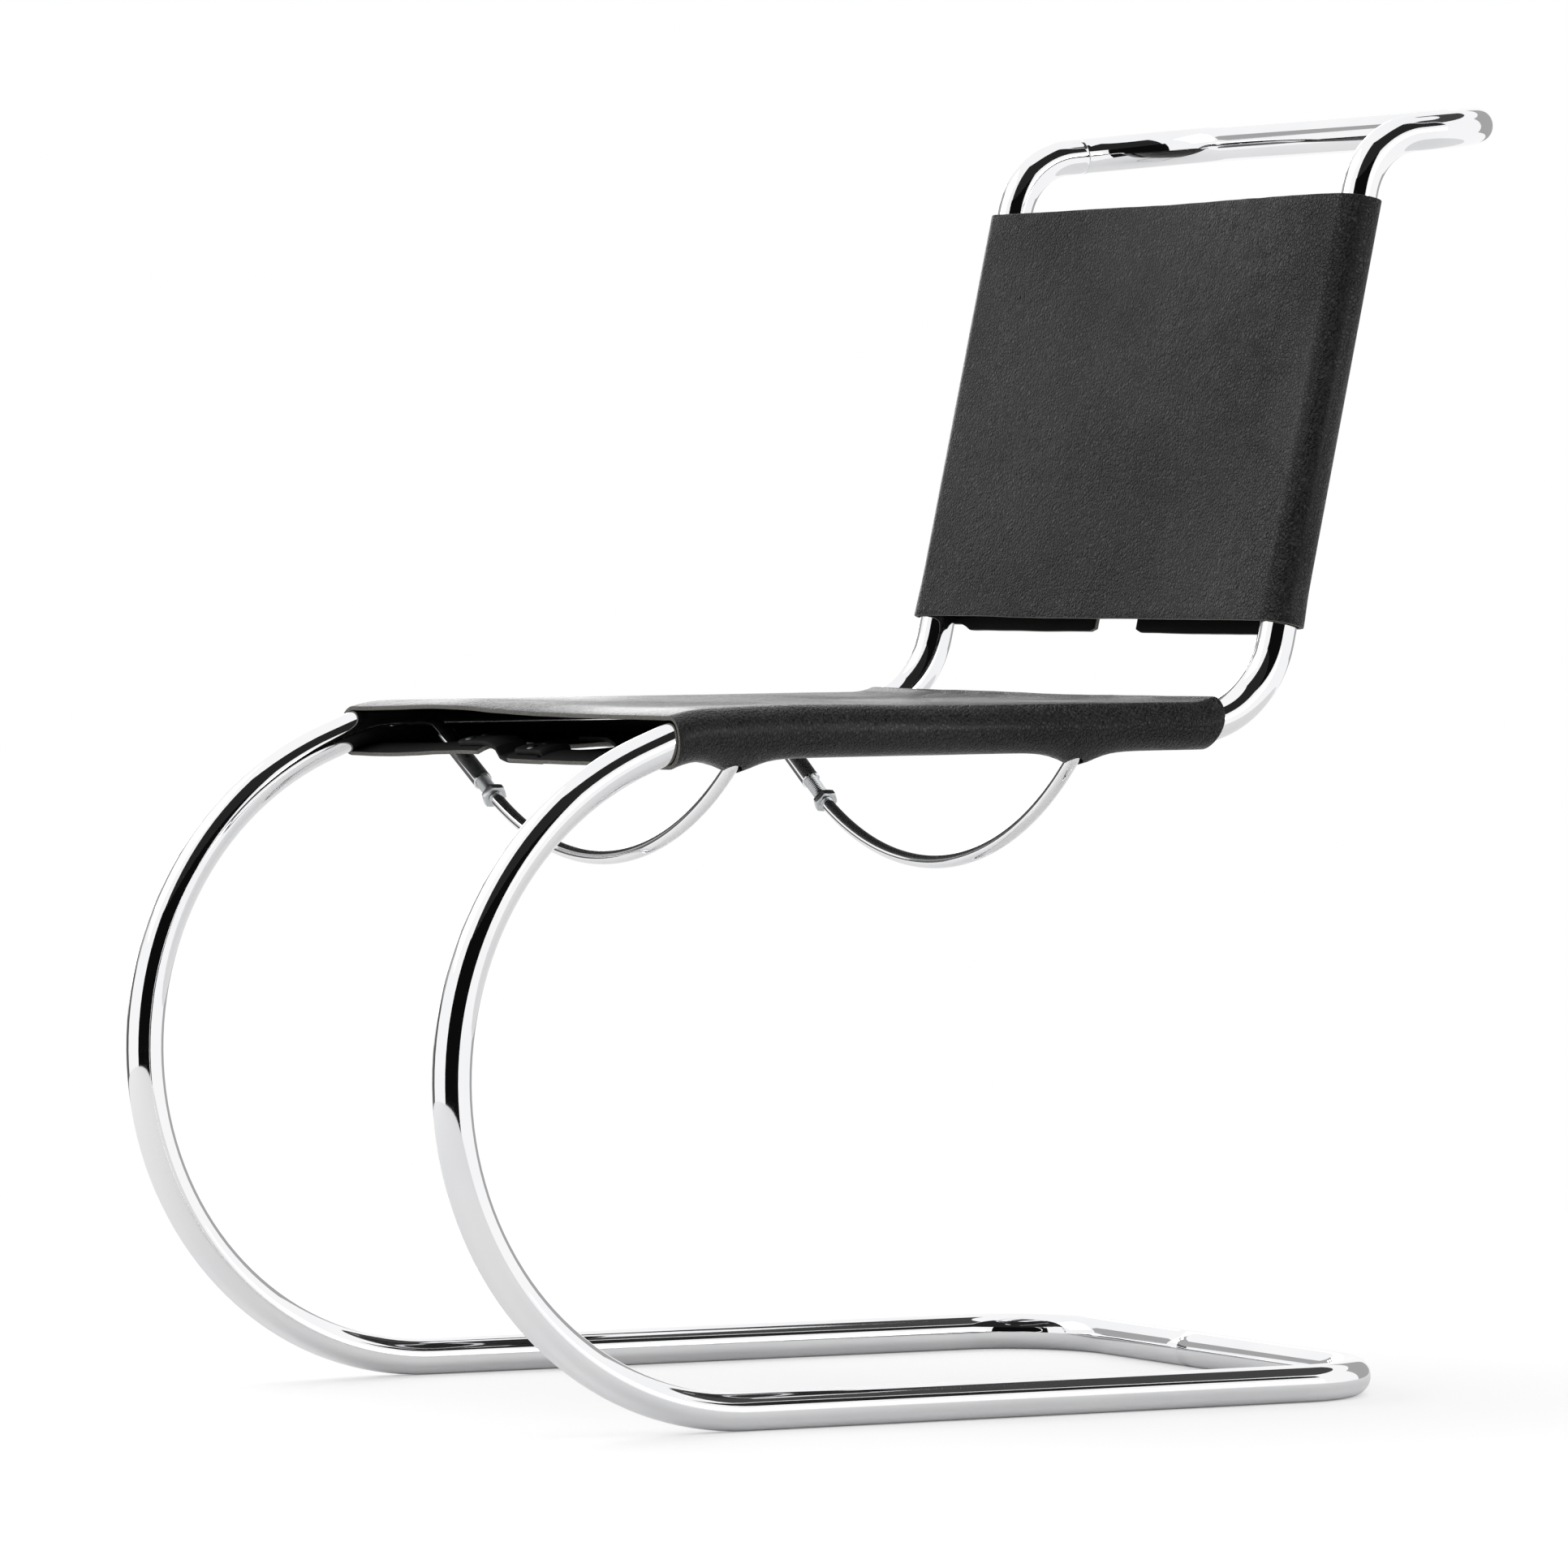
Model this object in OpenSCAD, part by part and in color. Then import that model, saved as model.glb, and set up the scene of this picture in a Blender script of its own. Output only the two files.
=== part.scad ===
// Cantilever chair: a bent steel tube frame with a leather seat sling and a leather back sling.
// Millimetres. +Z is up, the front of the chair faces -Y, and X = 0 is the middle of its width.
// The origin is on the floor, at the centre of the chair's outline.

/* [Frame tube] */
// Outside diameter of the frame tube
tube_d = 25; // [22:0.5:28]
// Wall of the frame tube
tube_wall = 2; // [1.5:0.25:3]
// Width across the outsides of the two side frames
frame_w = 444; // [420:2:520]
// Straight length of each floor runner
runner_l = 435; // [380:5:480]
// Centre-line radius of the rear floor corners
floor_corner_r = 74; // [60:1:90]
// Centre-line radius of the big front bend
front_r = 217; // [190:1:240]
// Angle of the big front bend, in degrees
front_bend_angle = 158; // [150:1:162]
// Straight length between the front bend and the seat bend
front_straight = 17; // [5:1:40]
// Centre-line radius of the bend at the front of the seat
seat_bend_r = 87; // [70:1:110]
// Rise of the seat rails towards the back, in degrees
seat_rise_angle = 1; // [0:0.5:4]
// Straight length of each seat rail
seat_rail_l = 370; // [320:5:420]
// Centre-line radius of the bend from seat to back
back_bend_r = 71; // [60:1:90]
// Lean of the back from upright, in degrees
back_lean_angle = 12; // [8:0.5:16]
// Straight length of each back upright
back_l = 307; // [290:1:380]
// Centre-line radius of the bend above the back
top_bend_r = 50; // [42:1:70]
// Angle of the bend above the back, in degrees
top_bend_angle = 71; // [60:1:76]
// Straight length behind the top bend
top_straight = 12; // [8:1:30]
// Centre-line radius of the two top corners
top_corner_r = 78; // [60:1:100]
// Place of the joint in the rear floor bar, left of the middle
floor_joint_offset = 33; // [0:1:60]

/* [Joint spigots] */
// Length of the spigot inside the floor bar joint
floor_spigot_l = 80; // [50:5:110]
// Length of the spigot inside the top joint
top_spigot_l = 20; // [16:1:24]
// Radial play of the floor bar spigot in the tube
spigot_play = 0.1; // [0.05:0.05:0.2]
// Radial play of the top spigot, which reaches into a bend
top_spigot_play = 0.8; // [0.7:0.1:1]

/* [Leather slings] */
// Thickness of the leather
leather_t = 3; // [2.5:0.25:4]
// Play between leather and tube
leather_play = 0.3; // [0.2:0.05:0.5]
// Angle of the seat bend that the seat sling covers in front, in degrees
seat_wrap_front_angle = 20; // [10:1:20]
// Angle of the back bend that the seat sling covers behind, in degrees
seat_wrap_back_angle = 13; // [8:1:24]
// Gap between the two flaps under the seat
seat_flap_gap = 30; // [24:1:44]
// Distance of that gap from the middle of the chair, to the left
seat_gap_shift = 18; // [0:1:30]
// Height of the back sling along the uprights
back_sling_h = 290; // [240:5:290]
// Height of the bottom edge of the back sling above the start of the uprights
back_sling_lift = 11; // [5:1:16]
// Gap between the two flaps behind the back
back_flap_gap = 50; // [30:1:60]
// Drop of the back flaps below the front panel at the gap
back_flap_drop = 9; // [2:1:14]

/* [Closing straps] */
// Length of a strap's riveted end, on the inner side of the left flap
strap_end_l = 38; // [30:1:50]
// Length of a strap's loop round the right flap, from the flap's edge to its slot
strap_loop_l = 40; // [34:1:52]
// Width of a strap
strap_w = 26; // [22:1:34]
// Thickness of a strap
strap_t = 3; // [2:0.25:3.5]
// Distance from the front edge of the seat sling to the first seat strap
seat_strap_margin = 2; // [1:1:12]
// Distance between two seat straps
seat_strap_pitch = 94; // [80:1:96]
// Distance from the bottom edge of the back sling to the first back strap
back_strap_margin = 35; // [20:1:50]
// Distance between two back straps
back_strap_pitch = 96; // [70:1:100]
// Diameter of a rivet's shank
rivet_d = 4; // [3:0.25:5]
// Diameter of a rivet's head
rivet_head_d = 8; // [7:0.5:9]
// Height of a rivet's head
rivet_head_h = 1.2; // [0.8:0.1:2]
// Distance between the two rivets of one pair
rivet_pitch = 13; // [11:0.5:14]
// Distance from the end of a strap, or from the flap's edge, to its rivets
rivet_edge = 12; // [8:0.5:14]
// Play round the rivets and under their heads
rivet_play = 0.1; // [0.05:0.05:0.2]

/* [Spreaders] */
// Place of the front spreader, measured from the front end of the straight seat rail
front_spreader_y = 20; // [16:1:50]
// Distance between the two spreaders
spreader_pitch = 260; // [220:1:290]
// Slope of the front socket below level, in degrees
front_slope_angle = 31; // [31:0.5:37]
// Slope of the rear socket below level, in degrees
rear_slope_angle = 35.5; // [31:0.5:37]
// Diameter of the rods
rod_d = 9; // [8:0.25:9.5]
// Level length of the anchor rod, from the middle of the left rail to its elbow
anchor_l = 32; // [28:1:40]
// Radius of the anchor rod's elbow
elbow_r = 15; // [12:1:18]
// Distance from the elbow's corner to the socket
socket_start = 15; // [12:1:18]
// Length of the socket
socket_l = 58; // [56:1:70]
// Outside diameter of the socket
socket_d = 13; // [12.5:0.25:18]
// Solid length at the closed end of the socket
socket_plug_l = 10; // [8:1:12]
// Outside diameter of the threaded sleeve
thread_d = 10; // [9.5:0.25:10.25]
// Pitch of the thread
thread_pitch = 1.5; // [1:0.25:2]
// Depth of the thread
thread_depth = 0.8; // [0.6:0.1:0.9]
// Play between the thread and its mating pieces
thread_play = 0.1; // [0.05:0.05:0.1]
// Play between the rod and the sleeve
sleeve_play = 0.3; // [0.3:0.05:0.4]
// Length of sleeve inside the socket
sleeve_in = 26; // [22:1:28]
// Thread that shows between the front socket and its hexagon
front_thread_out = 15; // [10:1:16]
// Thread that shows between the rear socket and its hexagon
rear_thread_out = 20; // [15:1:20]
// Width across the flats of the hexagon
hex_af = 15; // [14:0.5:19]
// Thickness of the hexagon
hex_h = 5; // [4:0.5:7]
// Thread that shows past the hexagon
thread_end = 1; // [0.5:0.5:4]
// Diameter of the rod's thin tail inside the sleeve
tail_d = 5.5; // [5:0.25:6]
// Length of that tail
tail_l = 28; // [26:1:30]
// Straight length of the rod between its shoulder and its first bend
rod_shoulder_l = 2; // [1:0.5:5]
// Centre-line radius of the first bend
rod_entry_r = 46; // [42:1:90]
// Slope below level at which the long arc starts, in degrees
arc_start_angle = 28.5; // [27.5:0.5:28.5]
// Length of the neck at each end of the long arc
rod_neck = 2; // [1:0.5:10]
// Centre-line radius of the bend below the right rail
rod_end_r = 8; // [7:0.5:12]
// Straight length of the peg below the right rail
peg_out = 1.5; // [1:0.5:4]
// Length of the rod's peg inside the right rail
peg_in = 3; // [2:0.5:6]
// Play of the peg in its hole in the leather
peg_hole_play = 1.6; // [1.4:0.1:2.5]

/* [Hidden] */
$fn = 96;
seat_straps = 4;
back_straps = 3;

// Run of a cut past the surface that it goes through
overrun = 1;
// Length that a straight tube or rod runs into a bend
lap = 1;
// Extra radius of a bend over the straights that run into it
swell = 0.04;

tube_r = tube_d / 2;
bore_r = tube_r - tube_wall;
rod_radius = rod_d / 2;
side_x = frame_w / 2 - tube_r;

// Headings in the side view, in degrees: 0 points to the back, 90 up, 180 to the front
runner_h = 180;
front_h = runner_h - front_bend_angle;
seat_h = seat_rise_angle;
back_h = 90 - back_lean_angle;
top_h = back_h - top_bend_angle;

// Steps along a path in the side view: a point is [y, z], and a left turn is positive
function unit(h) = [cos(h), sin(h)];
function normal(h) = [-sin(h), cos(h)];
function go(p, h, l) = p + l * unit(h);
function pivot(p, h, r, turn) = p + sign(turn) * r * normal(h);
function swing(p, h, r, turn) = pivot(p, h, r, turn) - sign(turn) * r * normal(h + turn);

// The path, with the rear end of the runner at y = 0 before it is centred
runner_a = [0, tube_r];
runner_b = go(runner_a, runner_h, runner_l);
front_b = swing(runner_b, runner_h, front_r, -front_bend_angle);
seat_bend_a = go(front_b, front_h, front_straight);
rail_a = swing(seat_bend_a, front_h, seat_bend_r, seat_h - front_h);
rail_b = go(rail_a, seat_h, seat_rail_l);
upright_a = swing(rail_b, seat_h, back_bend_r, back_h - seat_h);
upright_b = go(upright_a, back_h, back_l);
top_a = swing(upright_b, back_h, top_bend_r, -top_bend_angle);
top_b = go(top_a, top_h, top_straight);
top_rail = go(top_b, top_h, top_corner_r);
foremost = runner_b[0] - front_r - tube_r;
rearmost = max(top_rail[0], floor_corner_r) + tube_r;
shift_y = -(foremost + rearmost) / 2;

// Leather: distances from the middle of the tube, and from the inner face of a flap
skin_in = tube_r + leather_play;
skin_out = skin_in + leather_t;
layer_in = leather_play;
layer_out = layer_in + strap_t;
seat_wrap_l = seat_bend_r * seat_wrap_front_angle * PI / 180;

// The first seat strap is flat under the bend, so it hangs lower than the flap by the bend's sag
flap_bend_r = seat_bend_r - skin_out - swell;
bend_sag = flap_bend_r - sqrt(pow(flap_bend_r, 2) - pow(strap_w / 2, 2));
function seat_sag(i) = i == 0 ? bend_sag : 0;

// Places along the seat rails, measured from the front end of their straight
rear_spreader_y = front_spreader_y + spreader_pitch;
first_seat_strap = seat_strap_margin + strap_w / 2 - seat_wrap_l;
first_back_strap = back_sling_lift + back_strap_margin + strap_w / 2;

// Spreaders: x and height from the middle of the rails. Each spreader is its place along them,
// the slope of its screw, and the length of its thread that shows
front_spreader = [front_spreader_y, front_slope_angle, front_thread_out];
rear_spreader = [rear_spreader_y, rear_slope_angle, rear_thread_out];
function place(s) = s[0];
function slope(s) = s[1];
function thread_out(s) = s[2];
elbow_x = -side_x + anchor_l;
plug_end = socket_start + socket_plug_l;
mouth = socket_start + socket_l;
hex_corner_r = hex_af / (2 * cos(30));
function elbow_run(s) = elbow_r * tan(slope(s) / 2);
function hex_from(s) = mouth + thread_out(s);
function sleeve_to(s) = hex_from(s) + hex_h + thread_end;

// Curved rod: shoulder, first bend, neck, long arc, neck, end bend and peg. The long arc's radius follows
// from where the first neck ends and where the end bend's centre is
function to_centre(angle) = [sin(angle), cos(angle)];
function down(angle) = [cos(angle), -sin(angle)];
function bend_from(s) = sleeve_to(s) + sleeve_play + rod_shoulder_l;
function entry_c(s) = [elbow_x, 0] + bend_from(s) * down(slope(s)) + rod_entry_r * to_centre(slope(s));
function entry_to(s) = entry_c(s) - rod_entry_r * to_centre(arc_start_angle);
function arc_from(s) = entry_to(s) + rod_neck * down(arc_start_angle);
end_c = [side_x - rod_end_r, -tube_r - peg_out];
function arc_r(s) = let (gap = arc_from(s) - end_c)
    (pow(rod_end_r, 2) + pow(rod_neck, 2) - gap * gap) / (2 * (gap * to_centre(arc_start_angle) + rod_end_r));
function arc_c(s) = arc_from(s) + arc_r(s) * to_centre(arc_start_angle);
function arc_rise(s) = let (span = arc_r(s) - rod_end_r)
    asin((end_c[0] - arc_c(s)[0]) / norm([span, rod_neck])) - atan(rod_neck / span);
function arc_to(s) = arc_c(s) + arc_r(s) * [sin(arc_rise(s)), -cos(arc_rise(s))];

module chrome() {
    color([0.8, 0.81, 0.82]) children();
}

module zinc() {
    color([0.66, 0.68, 0.68]) children();
}

module leather() {
    color([0.12, 0.12, 0.13]) children();
}

// A side-view plane at x: local x is Y, local y is Z, local z is X
module side_plane(x) {
    translate([x, shift_y, 0]) rotate([90, 0, 90]) children();
}

module ring(outer, inner) {
    difference() {
        circle(r = outer);
        circle(r = inner);
    }
}

// Straight tube in the side plane, from point p along heading h
module straight_tube(p, h, l, end_lap = lap) {
    translate(go(p, h, -lap)) rotate([0, 90, h]) linear_extrude(l + lap + end_lap) ring(tube_r, bore_r);
}

// Bent tube in the side plane, from point p and heading h
module bent_tube(p, h, r, turn) {
    start = turn > 0 ? h - 90 : h + 90 + turn;
    translate(pivot(p, h, r, turn)) rotate(start)
        rotate_extrude(angle = abs(turn)) translate([r, 0]) ring(tube_r + swell, bore_r - swell);
}

// Tube along X from x0 to x1
module cross_tube(x0, x1, p) {
    translate([x0, p[0] + shift_y, p[1]]) rotate([0, 90, 0]) linear_extrude(x1 - x0) ring(tube_r, bore_r);
}

// Quarter bend from the end p of a side frame into a cross bar, in a plane tilted by h
module corner(p, h, r, side) {
    translate([side * (side_x - r), p[0] + shift_y, p[1]]) rotate([h, 0, 0]) rotate(side > 0 ? 0 : 90)
        rotate_extrude(angle = 90) translate([r, 0]) ring(tube_r + swell, bore_r - swell);
}

// One side frame, from the rear floor corner up to the top corner
module side_frame(x, top_lap) {
    side_plane(x) {
        straight_tube(runner_a, runner_h, runner_l);
        bent_tube(runner_b, runner_h, front_r, -front_bend_angle);
        straight_tube(front_b, front_h, front_straight);
        bent_tube(seat_bend_a, front_h, seat_bend_r, seat_h - front_h);
        straight_tube(rail_a, seat_h, seat_rail_l);
        bent_tube(rail_b, seat_h, back_bend_r, back_h - seat_h);
        straight_tube(upright_a, back_h, back_l);
        bent_tube(upright_b, back_h, top_bend_r, -top_bend_angle);
        straight_tube(top_a, top_h, top_straight, top_lap);
    }
}

// The middle of the seat rails at a distance along them: z is up from the seat.
// A negative distance lies in the bend at the front
module at_rail(d) {
    h = d < 0 ? seat_h - d / seat_bend_r * 180 / PI : seat_h;
    p = d < 0 ? pivot(rail_a, seat_h, seat_bend_r, -1) + seat_bend_r * normal(h) : go(rail_a, seat_h, d);
    translate([0, p[0] + shift_y, p[1]]) rotate([h, 0, 0]) children();
}

// The middle of the uprights at a distance along them: z points to the front
module at_upright(d) {
    p = go(upright_a, back_h, d);
    translate([0, p[0] + shift_y, p[1]]) rotate([back_h, 0, 0]) children();
}

module at_spreaders() {
    for (s = [front_spreader, rear_spreader]) at_rail(place(s)) children();
}

// Right tube: half of the floor bar, the right side and the whole top rail
module right_frame_tube() {
    chrome() difference() {
        union() {
            cross_tube(-floor_joint_offset, side_x - floor_corner_r + lap, [floor_corner_r, tube_r]);
            corner(runner_a, 0, floor_corner_r, 1);
            side_frame(side_x, lap);
            corner(top_b, top_h, top_corner_r, 1);
            cross_tube(-side_x + top_corner_r - lap, side_x - top_corner_r + lap, top_rail);
            corner(top_b, top_h, top_corner_r, -1);
        }
        at_spreaders() translate([side_x, 0, -tube_r - overrun])
            cylinder(r = rod_radius + rivet_play, h = tube_wall + 2 * overrun);
    }
}

// Left tube: the other half of the floor bar and the left side
module left_frame_tube() {
    chrome() difference() {
        union() {
            cross_tube(-side_x + floor_corner_r - lap, -floor_joint_offset, [floor_corner_r, tube_r]);
            corner(runner_a, 0, floor_corner_r, -1);
            side_frame(-side_x, 0);
        }
        at_spreaders() translate([-side_x + bore_r - overrun, 0, 0]) rotate([0, 90, 0])
            cylinder(r = rod_radius + rivet_play, h = tube_wall + 2 * overrun);
    }
}

module floor_joint_spigot() {
    zinc() translate([-floor_joint_offset - floor_spigot_l / 2, floor_corner_r + shift_y, tube_r])
        rotate([0, 90, 0]) cylinder(r = bore_r - spigot_play, h = floor_spigot_l);
}

module top_joint_spigot() {
    zinc() side_plane(-side_x) translate(go(top_b, top_h, -top_spigot_l / 2)) rotate([0, 90, top_h])
        cylinder(r = bore_r - top_spigot_play, h = top_spigot_l);
}

// Section of a sling: x across, the sheet at +y, the two flaps at -y with their gap centred at x = mid
module sling_section(gap, mid, extra) {
    inner = skin_in - extra;
    outer = skin_out + extra;
    translate([-side_x, inner]) square([2 * side_x, outer - inner]);
    for (side = [0, 1]) mirror([side, 0]) translate([side_x, 0]) intersection() {
        ring(outer, inner);
        translate([0, -outer]) square([outer, 2 * outer]);
    }
    translate([-side_x, -outer]) square([side_x + mid - gap / 2, outer - inner]);
    translate([mid + gap / 2, -outer]) square([side_x - mid - gap / 2, outer - inner]);
}

// Straight stretch of a sling, in the frame of at_rail or at_upright
module sling_straight(from, l, gap, mid) {
    translate([0, from, 0]) rotate([-90, 0, 0]) mirror([0, 1, 0])
        linear_extrude(l) sling_section(gap, mid, 0);
}

// Stretch of the seat sling in the bend at its front
module sling_front() {
    side_plane(0) translate(pivot(rail_a, seat_h, seat_bend_r, -1)) rotate(seat_h + 90)
        rotate_extrude(angle = seat_wrap_front_angle) translate([seat_bend_r, 0]) rotate(-90) mirror([1, 0])
        sling_section(seat_flap_gap, -seat_gap_shift, swell);
}

// Stretch of the seat sling in the bend at its back
module sling_rear() {
    side_plane(0) translate(pivot(rail_b, seat_h, back_bend_r, 1)) rotate(seat_h - 90)
        rotate_extrude(angle = seat_wrap_back_angle) translate([back_bend_r, 0]) rotate(90)
        sling_section(seat_flap_gap, -seat_gap_shift, swell);
}

// A strap seen from its end: x is measured from the right flap's edge, y from the flaps' outer face.
// It lies on the left flap, dips through the gap, and loops round the right flap with a half-round turn
module strap_outline(gap, sag) {
    low = -layer_in - sag;
    high = leather_t + layer_in;
    turn_r = (high - low) / 2;
    slack = 2 * leather_play;
    inner = [for (i = [0 : 12]) let (a = -90 + 15 * i)
        [strap_loop_l + turn_r * cos(a), low + turn_r + turn_r * sin(a)]];
    outer = [for (i = [12 : -1 : 0]) let (a = -90 + 15 * i)
        [strap_loop_l + (turn_r + strap_t) * cos(a), low + turn_r + (turn_r + strap_t) * sin(a)]];
    polygon(concat(
        [[-gap - strap_end_l, high], [-gap - strap_end_l, high + strap_t]],
        [[-gap + slack, high + strap_t], [0, low]],
        inner,
        [[rivet_edge / 2, high], [rivet_edge / 2, high + strap_t]],
        outer,
        [[-strap_t, low - strap_t], [-gap + slack, high]]));
}

// A strap, in the frame of at_rail or at_upright, with the gap's middle at x = mid
module strap(gap, mid, sag) {
    translate([mid + gap / 2, strap_w / 2, -skin_out]) rotate([90, 0, 0]) linear_extrude(strap_w)
        strap_outline(gap, sag);
}

// The rivets' places: children 0 at a strap's left end, children 1 in its loop
module rivet_places(gap, mid) {
    for (y = [-rivet_pitch / 2, rivet_pitch / 2]) {
        translate([mid - gap / 2 - strap_end_l + rivet_edge, y, -skin_out]) children(0);
        translate([mid + gap / 2 + 2 * rivet_edge, y, -skin_out]) children(1);
    }
}

// A rivet's shank with a flat head at each end, through layers from height low to high
module rivet(low, high) {
    translate([0, 0, low - rivet_play - rivet_head_h / 2])
        cylinder(r = rivet_d / 2, h = high - low + 2 * rivet_play + rivet_head_h);
    for (z = [low - rivet_play - rivet_head_h, high + rivet_play])
        translate([0, 0, z]) cylinder(r = rivet_head_d / 2, h = rivet_head_h);
}

module rivets(gap, mid, sag) {
    rivet_places(gap, mid) {
        rivet(-sag, leather_t + layer_out);
        rivet(-layer_out - sag, leather_t + layer_out);
    }
}

module rivet_holes(gap, mid) {
    for (x = [mid - gap / 2 - strap_end_l + rivet_edge, mid + gap / 2 + 2 * rivet_edge])
        for (y = [-rivet_pitch / 2, rivet_pitch / 2])
            translate([x, y, -skin_out - layer_out - strap_t])
                cylinder(r = rivet_d / 2 + rivet_play, h = skin_out);
}

// Slot in the right flap that a strap's loop goes through
module strap_slot(gap, mid, sag) {
    translate([mid + gap / 2 + strap_loop_l, -strap_w / 2 - leather_play, -skin_out - overrun])
        cube([leather_t / 2 + layer_out + sag / 2 + leather_play, strap_w + 2 * leather_play,
            leather_t + 2 * overrun]);
}

module at_seat_strap(i) {
    at_rail(first_seat_strap + i * seat_strap_pitch) children();
}

module at_back_strap(i) {
    at_upright(first_back_strap + i * back_strap_pitch) children();
}

module seat_sling() {
    leather() difference() {
        union() {
            sling_front();
            at_rail(0) sling_straight(-lap, seat_rail_l + 2 * lap, seat_flap_gap, -seat_gap_shift);
            sling_rear();
        }
        for (i = [0 : seat_straps - 1]) at_seat_strap(i) {
            strap_slot(seat_flap_gap, -seat_gap_shift, seat_sag(i));
            rivet_holes(seat_flap_gap, -seat_gap_shift);
        }
        for (s = [front_spreader, rear_spreader])
            on_screw(s) cylinder(r = socket_d / 2 + leather_play, h = mouth);
        at_spreaders() translate([side_x, 0, -skin_out - overrun])
            cylinder(r = rod_radius + peg_hole_play, h = leather_t + 2 * overrun);
    }
}

module back_sling() {
    leather() difference() {
        union() {
            at_upright(0) sling_straight(back_sling_lift, back_sling_h, back_flap_gap, 0);
            at_upright(back_sling_lift) translate([0, 0, -skin_out]) linear_extrude(leather_t)
                for (side = [0, 1]) mirror([side, 0]) polygon([[back_flap_gap / 2, lap],
                    [side_x - tube_r, lap], [side_x - tube_r, 0], [side_x - tube_d, -back_flap_drop],
                    [back_flap_gap / 2, -back_flap_drop]]);
        }
        for (i = [0 : back_straps - 1]) at_back_strap(i) {
            strap_slot(back_flap_gap, 0, 0);
            rivet_holes(back_flap_gap, 0);
        }
    }
}

module seat_strap(i) {
    leather() at_seat_strap(i) difference() {
        strap(seat_flap_gap, -seat_gap_shift, seat_sag(i));
        rivet_holes(seat_flap_gap, -seat_gap_shift);
    }
}

module back_strap(i) {
    leather() at_back_strap(i) difference() {
        strap(back_flap_gap, 0, 0);
        rivet_holes(back_flap_gap, 0);
    }
}

module seat_strap_rivets() {
    zinc() for (i = [0 : seat_straps - 1]) at_seat_strap(i)
        rivets(seat_flap_gap, -seat_gap_shift, seat_sag(i));
}

module back_strap_rivets() {
    zinc() for (i = [0 : back_straps - 1]) at_back_strap(i) rivets(back_flap_gap, 0, 0);
}

// Frame of a spreader's screw: local z runs down the slope from the corner of the anchor rod
module on_screw(s) {
    at_rail(place(s)) translate([elbow_x, 0, 0]) rotate([0, 90 + slope(s), 0]) children();
}

// Bent rod about the point c, given as [x, height], between two angles. -90 lies below it
module bent_rod(c, r, from, to) {
    translate([c[0], 0, c[1]]) rotate([90, 0, 0]) rotate(from)
        rotate_extrude(angle = to - from) translate([r, 0]) circle(r = rod_radius + swell);
}

// Anchor rod: from inside the left rail through its elbow into the closed end of the socket
module anchor_rod(s) {
    chrome() {
        at_rail(place(s)) {
            translate([-side_x + bore_r - overrun, 0, 0]) rotate([0, 90, 0])
                cylinder(r = rod_radius, h = anchor_l - elbow_run(s) - bore_r + overrun + lap);
            bent_rod([elbow_x - elbow_run(s), -elbow_r], elbow_r, 90 - slope(s), 90);
        }
        on_screw(s) translate([0, 0, elbow_run(s) - lap])
            cylinder(r = rod_radius, h = plug_end - elbow_run(s) + lap);
    }
}

// Socket: a tube with one closed end, drilled for the anchor rod
module socket(s) {
    chrome() on_screw(s) difference() {
        translate([0, 0, socket_start]) cylinder(r = socket_d / 2, h = socket_l);
        translate([0, 0, socket_start - overrun]) cylinder(r = rod_radius + rivet_play, h = socket_l);
        translate([0, 0, plug_end]) cylinder(r = thread_d / 2 + thread_play, h = socket_l);
    }
}

// Hollow screw with a blind bore that the rod's tail bears in, and grooves for its thread
module threaded_sleeve(s) {
    l = sleeve_in + thread_out(s) + hex_h + thread_end;
    turns = floor(l / thread_pitch);
    crest = thread_d / 2;
    root = crest - thread_depth;
    groove = function(i) [[crest, (i + 1 / 3) * thread_pitch], [crest, (i + 2 / 3) * thread_pitch],
        [root, (i + 1) * thread_pitch]];
    zinc() on_screw(s) translate([0, 0, sleeve_to(s) - l]) difference() {
        rotate_extrude() polygon(concat([[0, 0], [root, 0]], [for (i = [0 : turns - 1]) each groove(i)],
            [[root, l], [0, l]]));
        translate([0, 0, l - tail_l - sleeve_play])
            cylinder(r = tail_d / 2 + sleeve_play, h = tail_l + sleeve_play + overrun);
    }
}

module adjusting_hexagon(s) {
    zinc() on_screw(s) translate([0, 0, hex_from(s)]) difference() {
        cylinder(r = hex_corner_r, h = hex_h, $fn = 6);
        translate([0, 0, -overrun]) cylinder(r = thread_d / 2 + thread_play, h = hex_h + 2 * overrun);
    }
}

// Neck of a rod: a short straight from the point p, down at an angle below level
module neck(p, angle) {
    translate([p[0], 0, p[1]]) rotate([0, 90 + angle, 0]) translate([0, 0, -lap])
        cylinder(r = rod_radius, h = rod_neck + 2 * lap);
}

// Curved rod: a thin tail in the sleeve, a shoulder, a long arc, and a peg up into the right rail
module spreader_rod(s) {
    rise = arc_rise(s);
    chrome() {
        on_screw(s) {
            translate([0, 0, sleeve_to(s) - tail_l]) cylinder(r = tail_d / 2, h = tail_l + sleeve_play + lap);
            translate([0, 0, sleeve_to(s) + sleeve_play]) cylinder(r = rod_radius, h = rod_shoulder_l + lap);
        }
        at_rail(place(s)) {
            bent_rod(entry_c(s), rod_entry_r, -90 - slope(s), -90 - arc_start_angle);
            neck(entry_to(s), arc_start_angle);
            bent_rod(arc_c(s), arc_r(s), -90 - arc_start_angle, rise - 90);
            neck(arc_to(s), -rise);
            bent_rod(end_c, rod_end_r, rise - 90, 0);
            translate([side_x, 0, end_c[1] - lap])
                cylinder(r = rod_radius, h = peg_in - bore_r - end_c[1] + lap);
        }
    }
}

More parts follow.
